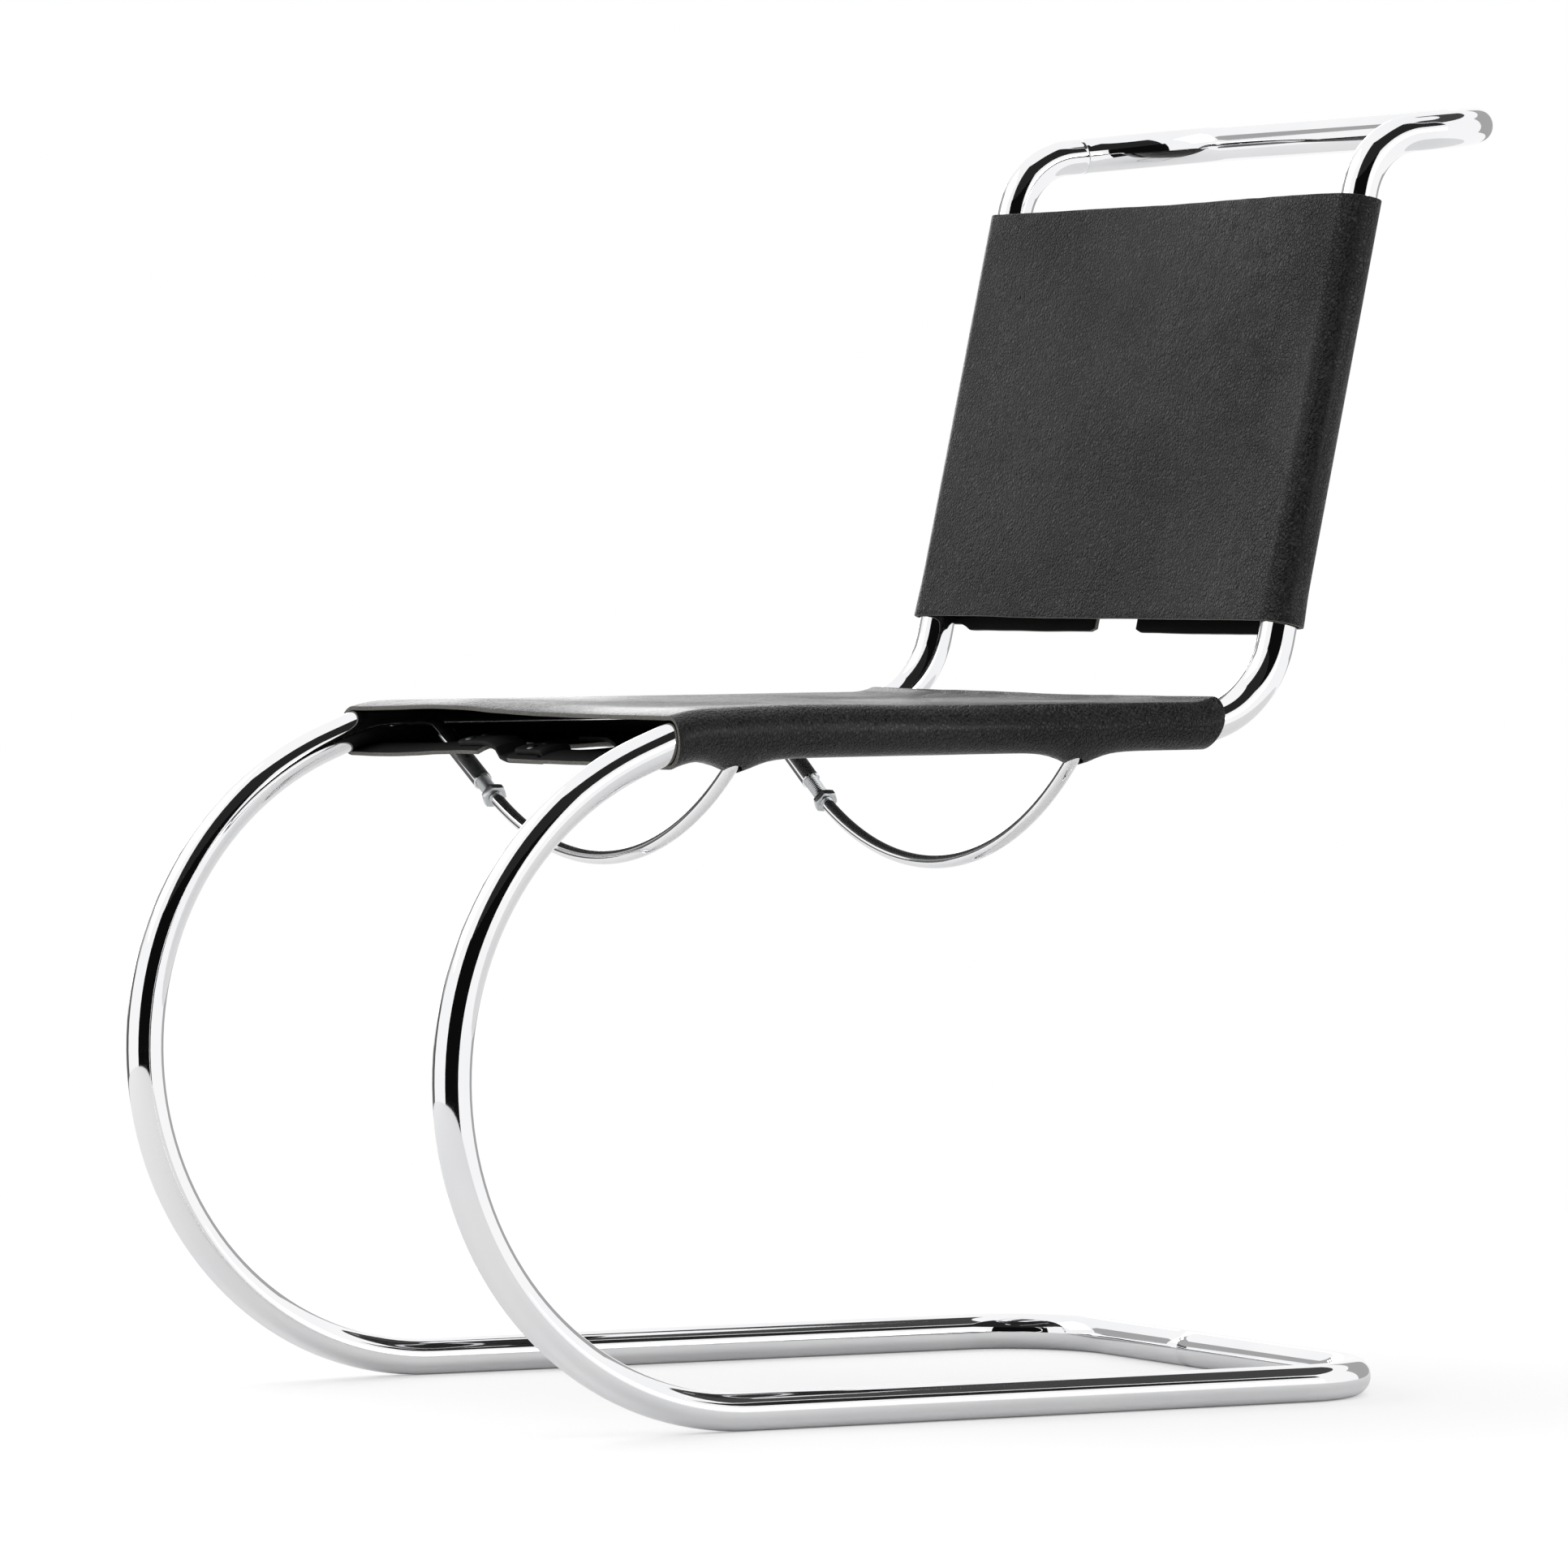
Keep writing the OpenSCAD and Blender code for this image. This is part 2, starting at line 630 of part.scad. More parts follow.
right_frame_tube();
left_frame_tube();
floor_joint_spigot();
top_joint_spigot();
seat_sling();
for (i = [1 : seat_straps]) seat_strap(i - 1);
seat_strap_rivets();
back_sling();
for (i = [1 : back_straps]) back_strap(i - 1);
back_strap_rivets();
anchor_rod(front_spreader);  // front_anchor_rod
socket(front_spreader);  // front_socket
threaded_sleeve(front_spreader);  // front_threaded_sleeve
adjusting_hexagon(front_spreader);  // front_adjusting_hexagon
spreader_rod(front_spreader);  // front_spreader_rod
anchor_rod(rear_spreader);  // rear_anchor_rod
socket(rear_spreader);  // rear_socket
threaded_sleeve(rear_spreader);  // rear_threaded_sleeve
adjusting_hexagon(rear_spreader);  // rear_adjusting_hexagon
spreader_rod(rear_spreader);  // rear_spreader_rod
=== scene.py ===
from math import asin, atan, ceil, cos, exp, hypot, pi, radians, sin, tan

import bmesh
import bpy
from mathutils import Matrix, Vector, noise


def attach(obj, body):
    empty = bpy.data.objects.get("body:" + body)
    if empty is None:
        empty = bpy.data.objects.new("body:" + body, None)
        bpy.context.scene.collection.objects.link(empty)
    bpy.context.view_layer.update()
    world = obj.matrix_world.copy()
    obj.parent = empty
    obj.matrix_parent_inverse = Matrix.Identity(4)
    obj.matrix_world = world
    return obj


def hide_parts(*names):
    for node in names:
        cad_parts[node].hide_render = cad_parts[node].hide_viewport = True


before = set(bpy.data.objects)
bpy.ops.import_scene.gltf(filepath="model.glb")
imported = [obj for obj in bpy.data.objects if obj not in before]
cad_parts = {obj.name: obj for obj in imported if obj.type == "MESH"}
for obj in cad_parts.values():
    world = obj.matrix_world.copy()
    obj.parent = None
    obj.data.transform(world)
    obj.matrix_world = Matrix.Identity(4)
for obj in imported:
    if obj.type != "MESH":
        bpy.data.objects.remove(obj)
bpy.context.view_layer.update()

# Frame tube, in metres and degrees, the same as in the part's source
TUBE_D = 0.025
TUBE_R = TUBE_D / 2
TUBE_WALL = 0.002
BORE_R = TUBE_R - TUBE_WALL
EDGE = 0.0004
FRAME_W = 0.444
SIDE_X = FRAME_W / 2 - TUBE_R
RUNNER_L = 0.435
FLOOR_CORNER_R = 0.074
FRONT_R = 0.217
FRONT_BEND = 158
FRONT_STRAIGHT = 0.017
SEAT_BEND_R = 0.087
SEAT_RISE = 1
RAIL_L = 0.370
BACK_BEND_R = 0.071
BACK_LEAN = 12
BACK_L = 0.307
TOP_BEND_R = 0.050
TOP_BEND = 71
TOP_STRAIGHT = 0.012
TOP_CORNER_R = 0.078
FLOOR_JOINT = 0.033

# Leather and straps
LEATHER_T = 0.003
LEATHER_PLAY = 0.0003
LEATHER_EDGE = 0.0006
WRAP_R = TUBE_R + LEATHER_PLAY + LEATHER_T / 2
SEAT_GAP = 0.030
SEAT_GAP_MIDDLE = -0.018
BACK_GAP = 0.050
SEAT_FRONT = -0.0295
SEAT_FRONT_SLANT = 0.0055
SEAT_REAR = 0.3875
SEAT_REAR_SLANT = 0.0075
BACK_LOW = 0.011
BACK_HIGH = 0.301
STRAP_T = 0.003
STRAP_W = 0.026
STRAP_END = 0.038
STRAP_LOOP = 0.040
STRAP_EDGE = 0.0005
STRAP_CORNER = 0.004
STRAP_DIP_FROM = 0.001
STRAP_DIP_TO = 0.002
SLOT_W = 0.006
SLOT_PLAY = 0.001
SLOT_DEPTH = 0.012
SEAT_STRAPS = [-0.0154, 0.0786, 0.1726, 0.2666]
BACK_STRAPS = [0.059, 0.155, 0.251]
RIVET_R = 0.002
RIVET_HEAD_R = 0.004
RIVET_HEAD_H = 0.0012
RIVET_PITCH = 0.013
RIVET_EDGE = 0.012
# A rivet's outline from its shank over one head: radius and share of the head's height
RIVET_DOME = [(RIVET_R, 0), (RIVET_HEAD_R, 0), (RIVET_HEAD_R - 0.0003, 0.35), (0.0024, 0.85), (0.0008, 1)]

# Form of the seat sling, in metres: x across the chair, d along the rails
SEAT_SAG = 0.0012
SEAT_EDGE = -0.03
# Bulges of the front edge: height, x and width
FRONT_BULGES = [(0.0045, -0.08, 0.11), (0.001, 0.10, 0.06)]
BULGE_LENGTH = 0.12
# Loose leather over the right rail
LOOSE_RISE = 0.0028
LOOSE_AT = 0.07
LOOSE_LENGTH = 0.09
LOOSE_FROM = 0.09
LOOSE_WIDTH = 0.1
# Flaps under the seat: the far one is on the left rail
FLAP_TAUT = 0.19
FAR_FLAP_LIFT = 0.0028
FAR_FLAP_WIDTH = 0.16
FRONT_FLAP_LIFT = 0.003
FRONT_FLAP_LENGTH = 0.05
NEAR_FLAP_LIFT = 0.001
NEAR_FLAP_WIDTH = 0.1
FLAP_HANG = 0.0012
SEAT_CORNER = 0.006
SEAT_CORNER_W = 0.004
# Lips that the rods' pegs pull down in the leather, and the pegs' slits
LIP_DROP = 0.0098
LIP_R = 0.010
LIP_LENGTH = 0.016
LIP_INWARD = 0.004
LIP_BEHIND = 0.003
LIP_POINT = 0.75
LIP_GRIP = 1.3
PEG_SLIT_IN = 0.001
PEG_SLIT_DROP = 0.006
PEG_SLIT_PLAY = 0.0012
PEG_SLIT_DEPTH = 0.016

# Form of the back sling, with d up along the uprights
BACK_HOLLOW = 0.0025
PUCKER_X = 0.13
PUCKER_D = 0.23
PUCKER_W = 0.09
PUCKER_H = 0.10
PUCKER_RISE = 0.0020
PUCKER_END = 0.03
CREASE_RISE = 0.0013
BACK_FLAP_DROP = 0.0045
BACK_FLAP_FROM = 0.012
BACK_FLAP_OVER = 0.014
BACK_FLAP_LIFT = 0.002
BACK_FLAP_LENGTH = 0.05
BACK_CORNER = 0.002
BACK_CORNER_W = 0.003
BACK_HIGH_SLANT = 0.0015
FLARE = 0.0018
FLARE_H = 0.016
FLARE_W = 0.008

# Waves in both slings: height, frequencies across and along, and place in the noise
LEATHER_WAVES = [(0.0005, 11, 9, 3.7), (0.0002, 40, 35, 1.2)]
WRAP_WAVES = 0.4

# Spreaders: place along the rails, slope of the screw in degrees, length of thread that shows
SPREADERS = {"front": (0.020, 31, 0.015), "rear": (0.280, 35.5, 0.020)}
PLACES = [spreader[0] for spreader in SPREADERS.values()]
ROD_R = 0.0045
ROD_INSIDE = 0.001
ANCHOR_L = 0.032
ELBOW_R = 0.015
SOCKET_FROM = 0.015
SOCKET_L = 0.058
SOCKET_R = 0.0065
SOCKET_PLUG = 0.010
SOCKET_CHAMFER = 0.0005
THREAD_R = 0.005
THREAD_PITCH = 0.0015
THREAD_DEPTH = 0.0008
THREAD_PLAY = 0.0001
THREAD_FLAT = 0.1
THREAD_CHAMFER = 0.0008
SLEEVE_IN = 0.026
HEX_FLATS = 0.015
HEX_H = 0.005
HEX_FACE = 0.96
HEX_DOWN = 0.0008
HEX_EDGE = 0.00015
THREAD_END = 0.001
TAIL_R = 0.00275
TAIL_L = 0.028
SLEEVE_PLAY = 0.0003
ROD_SHOULDER = 0.002
ROD_ENTRY_R = 0.046
ARC_START = 28.5
ROD_NECK = 0.002
ROD_END_R = 0.008
PEG_OUT = 0.0015
PEG_IN = 0.003

# Studio
WORLD_LIGHT = 0.8
FLOOR_R = 1.8
FLOOR_COLOR = (0.9, 0.9, 0.9)
FLOOR_GLOW = 0.3
KEY_PLACE = (-1.6, -2.2, 2.6)
KEY_TARGET = Vector((0, 0, 0.45))
CARD_R = 30
# Boards and lights seen in reflections: name, from and to azimuth, from and to elevation, strength.
# Azimuth 0 lies in front of the chair, and 90 to its +X side
CARDS = [
    ("dark_side", 21, 97, -30, 30, 0.004),
    ("dark_ceiling", 25, 138, 30, 70, 0.02),
    ("grey_side", -98, -57, -16, 9, 0.12),
    ("pale_side", -98, -57, 9, 27, 0.4),
    ("table_edge", -40, 30, -19, -16.8, 0.03),
    ("rear_ceiling", 140, 212, 42, 58, 0.06),
    ("rear_wall", 184, 224, -8, 30, 0.4),
    ("side_softbox", 106, 136, 6, 18, 4.0),
    ("rim_light", 240, 276, 0, 24, 2.4),
]

X_AXIS = Vector((1, 0, 0))
Y_AXIS = Vector((0, 1, 0))
Z_AXIS = Vector((0, 0, 1))

# Headings in the side view, in degrees: 0 points to the back, 90 up, 180 to the front
FRONT_H = 180 - FRONT_BEND
SEAT_H = SEAT_RISE
BACK_H = 90 - BACK_LEAN
TOP_H = BACK_H - TOP_BEND


def unit(h):
    return Vector((0, cos(radians(h)), sin(radians(h))))


def normal(h):
    return Vector((0, -sin(radians(h)), cos(radians(h))))


def swing(place, h, r, turn):
    """The end of a bend in the side view that starts at a place with heading h. A left turn is positive."""
    side = 1 if turn > 0 else -1
    return place + side * r * (normal(h) - normal(h + turn))


# Places in the side view, from the rear end of the runner
RUNNER_A = Vector((0, 0, TUBE_R))
RUNNER_B = RUNNER_A + RUNNER_L * unit(180)
FRONT_B = swing(RUNNER_B, 180, FRONT_R, -FRONT_BEND)
SEAT_BEND_A = FRONT_B + FRONT_STRAIGHT * unit(FRONT_H)
RAIL_A = swing(SEAT_BEND_A, FRONT_H, SEAT_BEND_R, SEAT_H - FRONT_H)
RAIL_B = RAIL_A + RAIL_L * unit(SEAT_H)
UPRIGHT_A = swing(RAIL_B, SEAT_H, BACK_BEND_R, BACK_H - SEAT_H)
UPRIGHT_B = UPRIGHT_A + BACK_L * unit(BACK_H)
TOP_A = swing(UPRIGHT_B, BACK_H, TOP_BEND_R, -TOP_BEND)
TOP_B = TOP_A + TOP_STRAIGHT * unit(TOP_H)
TOP_RAIL = TOP_B + TOP_CORNER_R * unit(TOP_H)
SHIFT = -Y_AXIS * (RUNNER_B.y - FRONT_R - TUBE_R + TOP_RAIL.y + TUBE_R) / 2


# Making

def deselect():
    bpy.ops.object.select_all(action="DESELECT")


def only(obj):
    deselect()
    obj.select_set(True)
    bpy.context.view_layer.objects.active = obj


def modify(obj, kind, **settings):
    """Adds a modifier and applies it."""
    only(obj)
    modifier = obj.modifiers.new(kind.title(), kind)
    for name, value in settings.items():
        setattr(modifier, name, value)
    bpy.ops.object.modifier_apply(modifier=modifier.name)


def in_edit(obj):
    only(obj)
    bpy.ops.object.mode_set(mode="EDIT")


def done():
    bpy.ops.object.mode_set(mode="OBJECT")


def settle(obj, place=None):
    """Puts the object's place in its mesh, and turns all its faces outwards."""
    obj.data.transform((place or Matrix()) @ obj.matrix_basis)
    obj.matrix_basis = Matrix()
    in_edit(obj)
    bpy.ops.mesh.select_all(action="SELECT")
    bpy.ops.mesh.remove_doubles(threshold=1e-6)
    bpy.ops.mesh.normals_make_consistent(inside=False)
    done()
    return obj


def smooth(obj, angle=35):
    only(obj)
    bpy.ops.object.shade_smooth_by_angle(angle=radians(angle))


def cut(obj, cutter, operation="DIFFERENCE"):
    modify(obj, "BOOLEAN", object=cutter, operation=operation, solver="EXACT")
    bpy.data.objects.remove(cutter)


def rounded(obj, width, angle=60):
    """Rounds the edges that turn by more than an angle in degrees."""
    modify(obj, "BEVEL", width=width, segments=2, limit_method="ANGLE", angle_limit=radians(angle))


def joined(objects, name):
    only(objects[0])
    for obj in objects:
        obj.select_set(True)
    bpy.ops.object.join()
    objects[0].name = name
    return objects[0]


def swept(name, start, heading, radius, steps, sides, degrees=3):
    """A round bar from a point, along steps: a run, a bend about an axis by an angle, or a new radius."""
    deselect()
    bpy.ops.mesh.primitive_circle_add(vertices=sides, radius=radius, location=start,
        rotation=heading.to_track_quat("Z", "Y").to_euler())
    obj = bpy.context.object
    obj.name = name
    place, heading = start.copy(), heading.copy()
    bpy.ops.object.mode_set(mode="EDIT")
    bpy.ops.mesh.select_all(action="SELECT")
    for step in steps:
        if step[0] == "run":
            ends = min(radius, step[1] / 4)
            for length in (ends, step[1] - 2 * ends, ends):
                bpy.ops.mesh.extrude_region_move(TRANSFORM_OT_translate={"value": heading * length})
            place += heading * step[1]
        elif step[0] == "radius":
            bpy.ops.mesh.extrude_region_move(TRANSFORM_OT_translate={"value": (0, 0, 0)})
            bpy.ops.transform.resize(value=(step[1] / radius,) * 3, center_override=place)
            radius = step[1]
        else:
            _, bend_r, axis, angle = step
            centre = place + bend_r * axis.cross(heading)
            bpy.ops.mesh.spin(steps=ceil(angle / degrees), angle=radians(angle), center=centre, axis=-axis)
            turn = Matrix.Rotation(radians(angle), 3, axis)
            place = centre + turn @ (place - centre)
            heading = turn @ heading
    done()
    bpy.ops.object.transform_apply(location=True, rotation=True, scale=True)
    return obj


def close_ends(obj):
    """Fills the open ends of a swept rod and rounds their edges."""
    in_edit(obj)
    bpy.ops.mesh.select_all(action="DESELECT")
    bpy.ops.mesh.select_mode(type="EDGE")
    bpy.ops.mesh.select_non_manifold()
    bpy.ops.mesh.edge_face_add()
    done()
    rounded(obj, EDGE)


def turned(name, profile, sides, closed=False):
    """A body turned about the Z axis from a list of (radius, height). A closed outline gives it a bore."""
    deselect()
    r, z = profile[0]
    bpy.ops.mesh.primitive_circle_add(vertices=sides, radius=r, location=(0, 0, z))
    obj = bpy.context.object
    obj.name = name
    bpy.ops.object.mode_set(mode="EDIT")
    bpy.ops.mesh.select_all(action="SELECT")
    if not closed:
        bpy.ops.mesh.edge_face_add()
    for next_r, next_z in profile[1:] + profile[:1] * closed:
        bpy.ops.mesh.extrude_region_move(TRANSFORM_OT_translate={"value": (0, 0, next_z - z)})
        size = next_r / r
        bpy.ops.transform.resize(value=(size, size, 1), center_override=(0, 0, next_z))
        r, z = next_r, next_z
    done()
    bpy.ops.object.transform_apply(location=True, rotation=True, scale=True)
    return settle(obj)


# Frame

def side_steps():
    """The steps of one side of the frame, from the rear end of its runner."""
    return [("run", RUNNER_L), ("bend", FRONT_R, -X_AXIS, FRONT_BEND), ("run", FRONT_STRAIGHT),
        ("bend", SEAT_BEND_R, -X_AXIS, FRONT_H - SEAT_H), ("run", RAIL_L),
        ("bend", BACK_BEND_R, X_AXIS, BACK_H - SEAT_H), ("run", BACK_L),
        ("bend", TOP_BEND_R, -X_AXIS, TOP_BEND), ("run", TOP_STRAIGHT)]


def frame_tube(name, side, steps, holes):
    """A bent tube with its bore, rounded edges at both ends, and the rods' holes."""
    start = Vector((-FLOOR_JOINT, FLOOR_CORNER_R, TUBE_R)) + SHIFT
    obj = swept(name, start, side * X_AXIS, TUBE_R, steps, sides=64, degrees=2.5)
    settle(obj)
    modify(obj, "SOLIDIFY", thickness=TUBE_WALL, offset=-1, use_even_offset=True)
    rounded(obj, EDGE)
    for hole in holes:
        cut(obj, hole)
    smooth(obj)
    return obj


def drill(place, axis, radius, length):
    deselect()
    bpy.ops.mesh.primitive_cylinder_add(vertices=32, radius=radius, depth=length, location=place,
        rotation=axis.to_track_quat("Z", "Y").to_euler())
    return bpy.context.object


def at_rail(d):
    """The frame of a place on the straight seat rails: X across, Y along them and Z up from the seat."""
    turn = Matrix.Rotation(radians(SEAT_H), 4, "X")
    return Matrix.Translation(RAIL_A + SHIFT + d * unit(SEAT_H)) @ turn


def make_frame():
    drilled = {"radius": ROD_R + THREAD_PLAY, "length": 3 * TUBE_WALL}
    peg_holes = [drill(at_rail(d) @ Vector((SIDE_X, 0, -TUBE_R)), Z_AXIS, **drilled) for d in PLACES]
    anchor_holes = [drill(at_rail(d) @ Vector((-SIDE_X + TUBE_R, 0, 0)), X_AXIS, **drilled) for d in PLACES]
    floor_bar = SIDE_X - FLOOR_CORNER_R
    corner = ("bend", TOP_CORNER_R, normal(TOP_H), 90)
    top_rail = [corner, ("run", 2 * (SIDE_X - TOP_CORNER_R)), corner]
    right = frame_tube("tube_right", 1, [("run", floor_bar + FLOOR_JOINT),
        ("bend", FLOOR_CORNER_R, -Z_AXIS, 90), *side_steps(), *top_rail], peg_holes)
    left = frame_tube("tube_left", -1, [("run", floor_bar - FLOOR_JOINT),
        ("bend", FLOOR_CORNER_R, Z_AXIS, 90), *side_steps()], anchor_holes)
    finish_piece(right, "root", "chrome", "right_frame_tube")
    finish_piece(left, "root", "chrome", "left_frame_tube")


# Spreaders

def on_screw(d, slope):
    """The frame of a spreader's screw: Z runs down the slope from the corner of the anchor rod."""
    elbow = Matrix.Translation((-SIDE_X + ANCHOR_L, 0, 0))
    return at_rail(d) @ elbow @ Matrix.Rotation(radians(90 + slope), 4, "Y")


def anchor_rod(name, d, slope):
    """A short rod from a hole in the left rail, bent down into the socket."""
    start = BORE_R - ROD_INSIDE
    elbow_run = ELBOW_R * tan(radians(slope / 2))
    obj = swept(name, Vector((-SIDE_X + start, 0, 0)), X_AXIS, ROD_R, [("run", ANCHOR_L - elbow_run - start),
        ("bend", ELBOW_R, Y_AXIS, slope), ("run", SOCKET_FROM + SOCKET_PLUG - elbow_run)], sides=32)
    close_ends(obj)
    settle(obj, at_rail(d))
    smooth(obj)
    return obj


def socket(name, d, slope):
    """A tube with one closed end, drilled for the anchor rod, and chamfered at both ends."""
    end, plug, mouth = SOCKET_FROM, SOCKET_FROM + SOCKET_PLUG, SOCKET_FROM + SOCKET_L
    bore, hole = THREAD_R + THREAD_PLAY, ROD_R + THREAD_PLAY
    face_r = SOCKET_R - SOCKET_CHAMFER
    obj = turned(name, [(hole, end), (face_r, end), (SOCKET_R, end + SOCKET_CHAMFER),
        (SOCKET_R, mouth - SOCKET_CHAMFER), (face_r, mouth), (bore, mouth), (bore, plug), (hole, plug)],
        sides=48, closed=True)
    settle(obj, on_screw(d, slope))
    smooth(obj)
    return obj


def hex_from(out):
    return SOCKET_FROM + SOCKET_L + out


def sleeve_to(out):
    return hex_from(out) + HEX_H + THREAD_END


def threaded_sleeve(name, d, slope, out):
    """A screw with a true helix, chamfered ends and a blind bore that the rod's tail bears in."""
    length = SLEEVE_IN + out + HEX_H + THREAD_END
    turns = length / THREAD_PITCH
    sides = 36
    deselect()
    bpy.ops.mesh.primitive_circle_add(vertices=sides, radius=THREAD_R)
    obj = bpy.context.object
    obj.name = name
    for v in obj.data.vertices:
        share = (abs(2 * v.index / sides - 1) - THREAD_FLAT) / (1 - 2 * THREAD_FLAT)
        v.co *= 1 - THREAD_DEPTH / THREAD_R * min(1, max(0, share))
    steps = round(turns * 24)
    modify(obj, "SCREW", angle=2 * pi * turns, screw_offset=length, steps=steps, render_steps=steps,
        axis="Z", use_smooth_shade=True)
    for v in obj.data.vertices:
        room = THREAD_R - THREAD_CHAMFER + min(v.co.z, length - v.co.z)
        r = hypot(v.co.x, v.co.y)
        if r > room:
            v.co.x *= room / r
            v.co.y *= room / r
    in_edit(obj)
    bpy.ops.mesh.select_all(action="SELECT")
    bpy.ops.mesh.fill_holes(sides=0)
    done()
    settle(obj)
    bore = TAIL_R + SLEEVE_PLAY
    cut(obj, turned("bore", [(bore, length - TAIL_L), (bore, length + THREAD_CHAMFER)], sides=32))
    settle(obj, on_screw(d, slope) @ Matrix.Translation((0, 0, sleeve_to(out) - length)))
    smooth(obj, 50)
    return obj


def adjusting_hexagon(name, d, slope, out):
    """A hexagon whose corners are turned down at both faces, as on a nut, with a bore for the sleeve."""
    corner = HEX_FLATS / 2 / cos(radians(30))
    face_r = HEX_FLATS / 2 * HEX_FACE
    deselect()
    bpy.ops.mesh.primitive_cylinder_add(vertices=6, radius=corner, depth=HEX_H, location=(0, 0, HEX_H / 2))
    obj = bpy.context.object
    obj.name = name
    cone = [(face_r, 0), (corner, HEX_DOWN), (corner, HEX_H - HEX_DOWN), (face_r, HEX_H)]
    cut(obj, turned("cone", cone, sides=96), "INTERSECT")
    bore = THREAD_R - THREAD_DEPTH / 2
    cut(obj, turned("bore", [(bore, -HEX_DOWN), (bore, HEX_H + HEX_DOWN)], sides=48))
    rounded(obj, HEX_EDGE, 25)
    settle(obj, on_screw(d, slope) @ Matrix.Translation((0, 0, hex_from(out))))
    smooth(obj, 30)
    return obj


def spreader_rod(name, d, slope, out):
    """A thin tail in the sleeve, a shoulder, a long arc, and a peg up into the right rail."""

    def level(angle, length):
        return Vector((cos(radians(angle)), 0, -sin(radians(angle)))) * length

    def inward(angle, length):
        return Vector((sin(radians(angle)), 0, cos(radians(angle)))) * length

    elbow = Vector((-SIDE_X + ANCHOR_L, 0, 0))
    bend_from = elbow + level(slope, sleeve_to(out) + SLEEVE_PLAY + ROD_SHOULDER)
    bend_to = bend_from + inward(slope, ROD_ENTRY_R) - inward(ARC_START, ROD_ENTRY_R)
    arc_from = bend_to + level(ARC_START, ROD_NECK)
    end_c = Vector((SIDE_X - ROD_END_R, 0, -TUBE_R - PEG_OUT))
    # The long arc has the one radius with which its far end meets the end bend over a short straight
    gap = arc_from - end_c
    reach = gap.dot(inward(ARC_START, 1)) + ROD_END_R
    arc_r = (ROD_END_R ** 2 + ROD_NECK ** 2 - gap.dot(gap)) / (2 * reach)
    arc_c = arc_from + inward(ARC_START, arc_r)
    span = arc_r - ROD_END_R
    rise = (asin((end_c.x - arc_c.x) / hypot(span, ROD_NECK)) - atan(ROD_NECK / span)) / radians(1)
    steps = [("run", TAIL_L + SLEEVE_PLAY), ("radius", ROD_R), ("run", ROD_SHOULDER),
        ("bend", ROD_ENTRY_R, -Y_AXIS, slope - ARC_START), ("run", ROD_NECK),
        ("bend", arc_r, -Y_AXIS, ARC_START + rise), ("run", ROD_NECK),
        ("bend", ROD_END_R, -Y_AXIS, 90 - rise), ("run", PEG_IN - BORE_R - end_c.z)]
    obj = swept(name, elbow + level(slope, sleeve_to(out) - TAIL_L), level(slope, 1), TAIL_R, steps,
        sides=48, degrees=1.5)
    close_ends(obj)
    settle(obj, at_rail(d))
    smooth(obj)
    return obj


def make_spreaders():
    for end, (d, slope, out) in SPREADERS.items():
        finish_piece(anchor_rod(f"anchor_{end}", d, slope), "root", "chrome", f"{end}_anchor_rod")
        finish_piece(socket(f"socket_{end}", d, slope), "root", "chrome", f"{end}_socket")
        finish_piece(spreader_rod(f"rod_{end}", d, slope, out), "root", "chrome", f"{end}_spreader_rod")
        finish_piece(threaded_sleeve(f"thread_{end}", d, slope, out), f"{end}_sleeve", "zinc",
            f"{end}_threaded_sleeve")
        finish_piece(adjusting_hexagon(f"hexagon_{end}", d, slope, out), f"{end}_hexagon", "zinc",
            f"{end}_adjusting_hexagon")


# Leather

def ease(t):
    t = min(1, max(0, t))
    return t * t * (3 - 2 * t)


def bump(t):
    return exp(-t * t)


def bend_place(start, h, r, turn, share, off):
    """A place off the middle of a tube, part of the way round a bend in the side view."""
    side = 1 if turn > 0 else -1
    at = h + turn * share
    return start + side * r * normal(h) + (off - side * r) * normal(at)


def seat_side(d, off):
    """A place in the side view, d along the seat rail and off its middle. The underside ends straight."""
    if d < 0:
        angle = -d / SEAT_BEND_R / radians(1)
        return bend_place(RAIL_A, SEAT_H, SEAT_BEND_R, -1, -angle, off)
    straight = RAIL_A + d * unit(SEAT_H) + off * normal(SEAT_H)
    if d <= RAIL_L:
        return straight
    angle = (d - RAIL_L) / BACK_BEND_R / radians(1)
    bent = bend_place(RAIL_B, SEAT_H, BACK_BEND_R, 1, angle, off)
    return bent.lerp(straight, ease(0.5 - off / (2 * WRAP_R)))


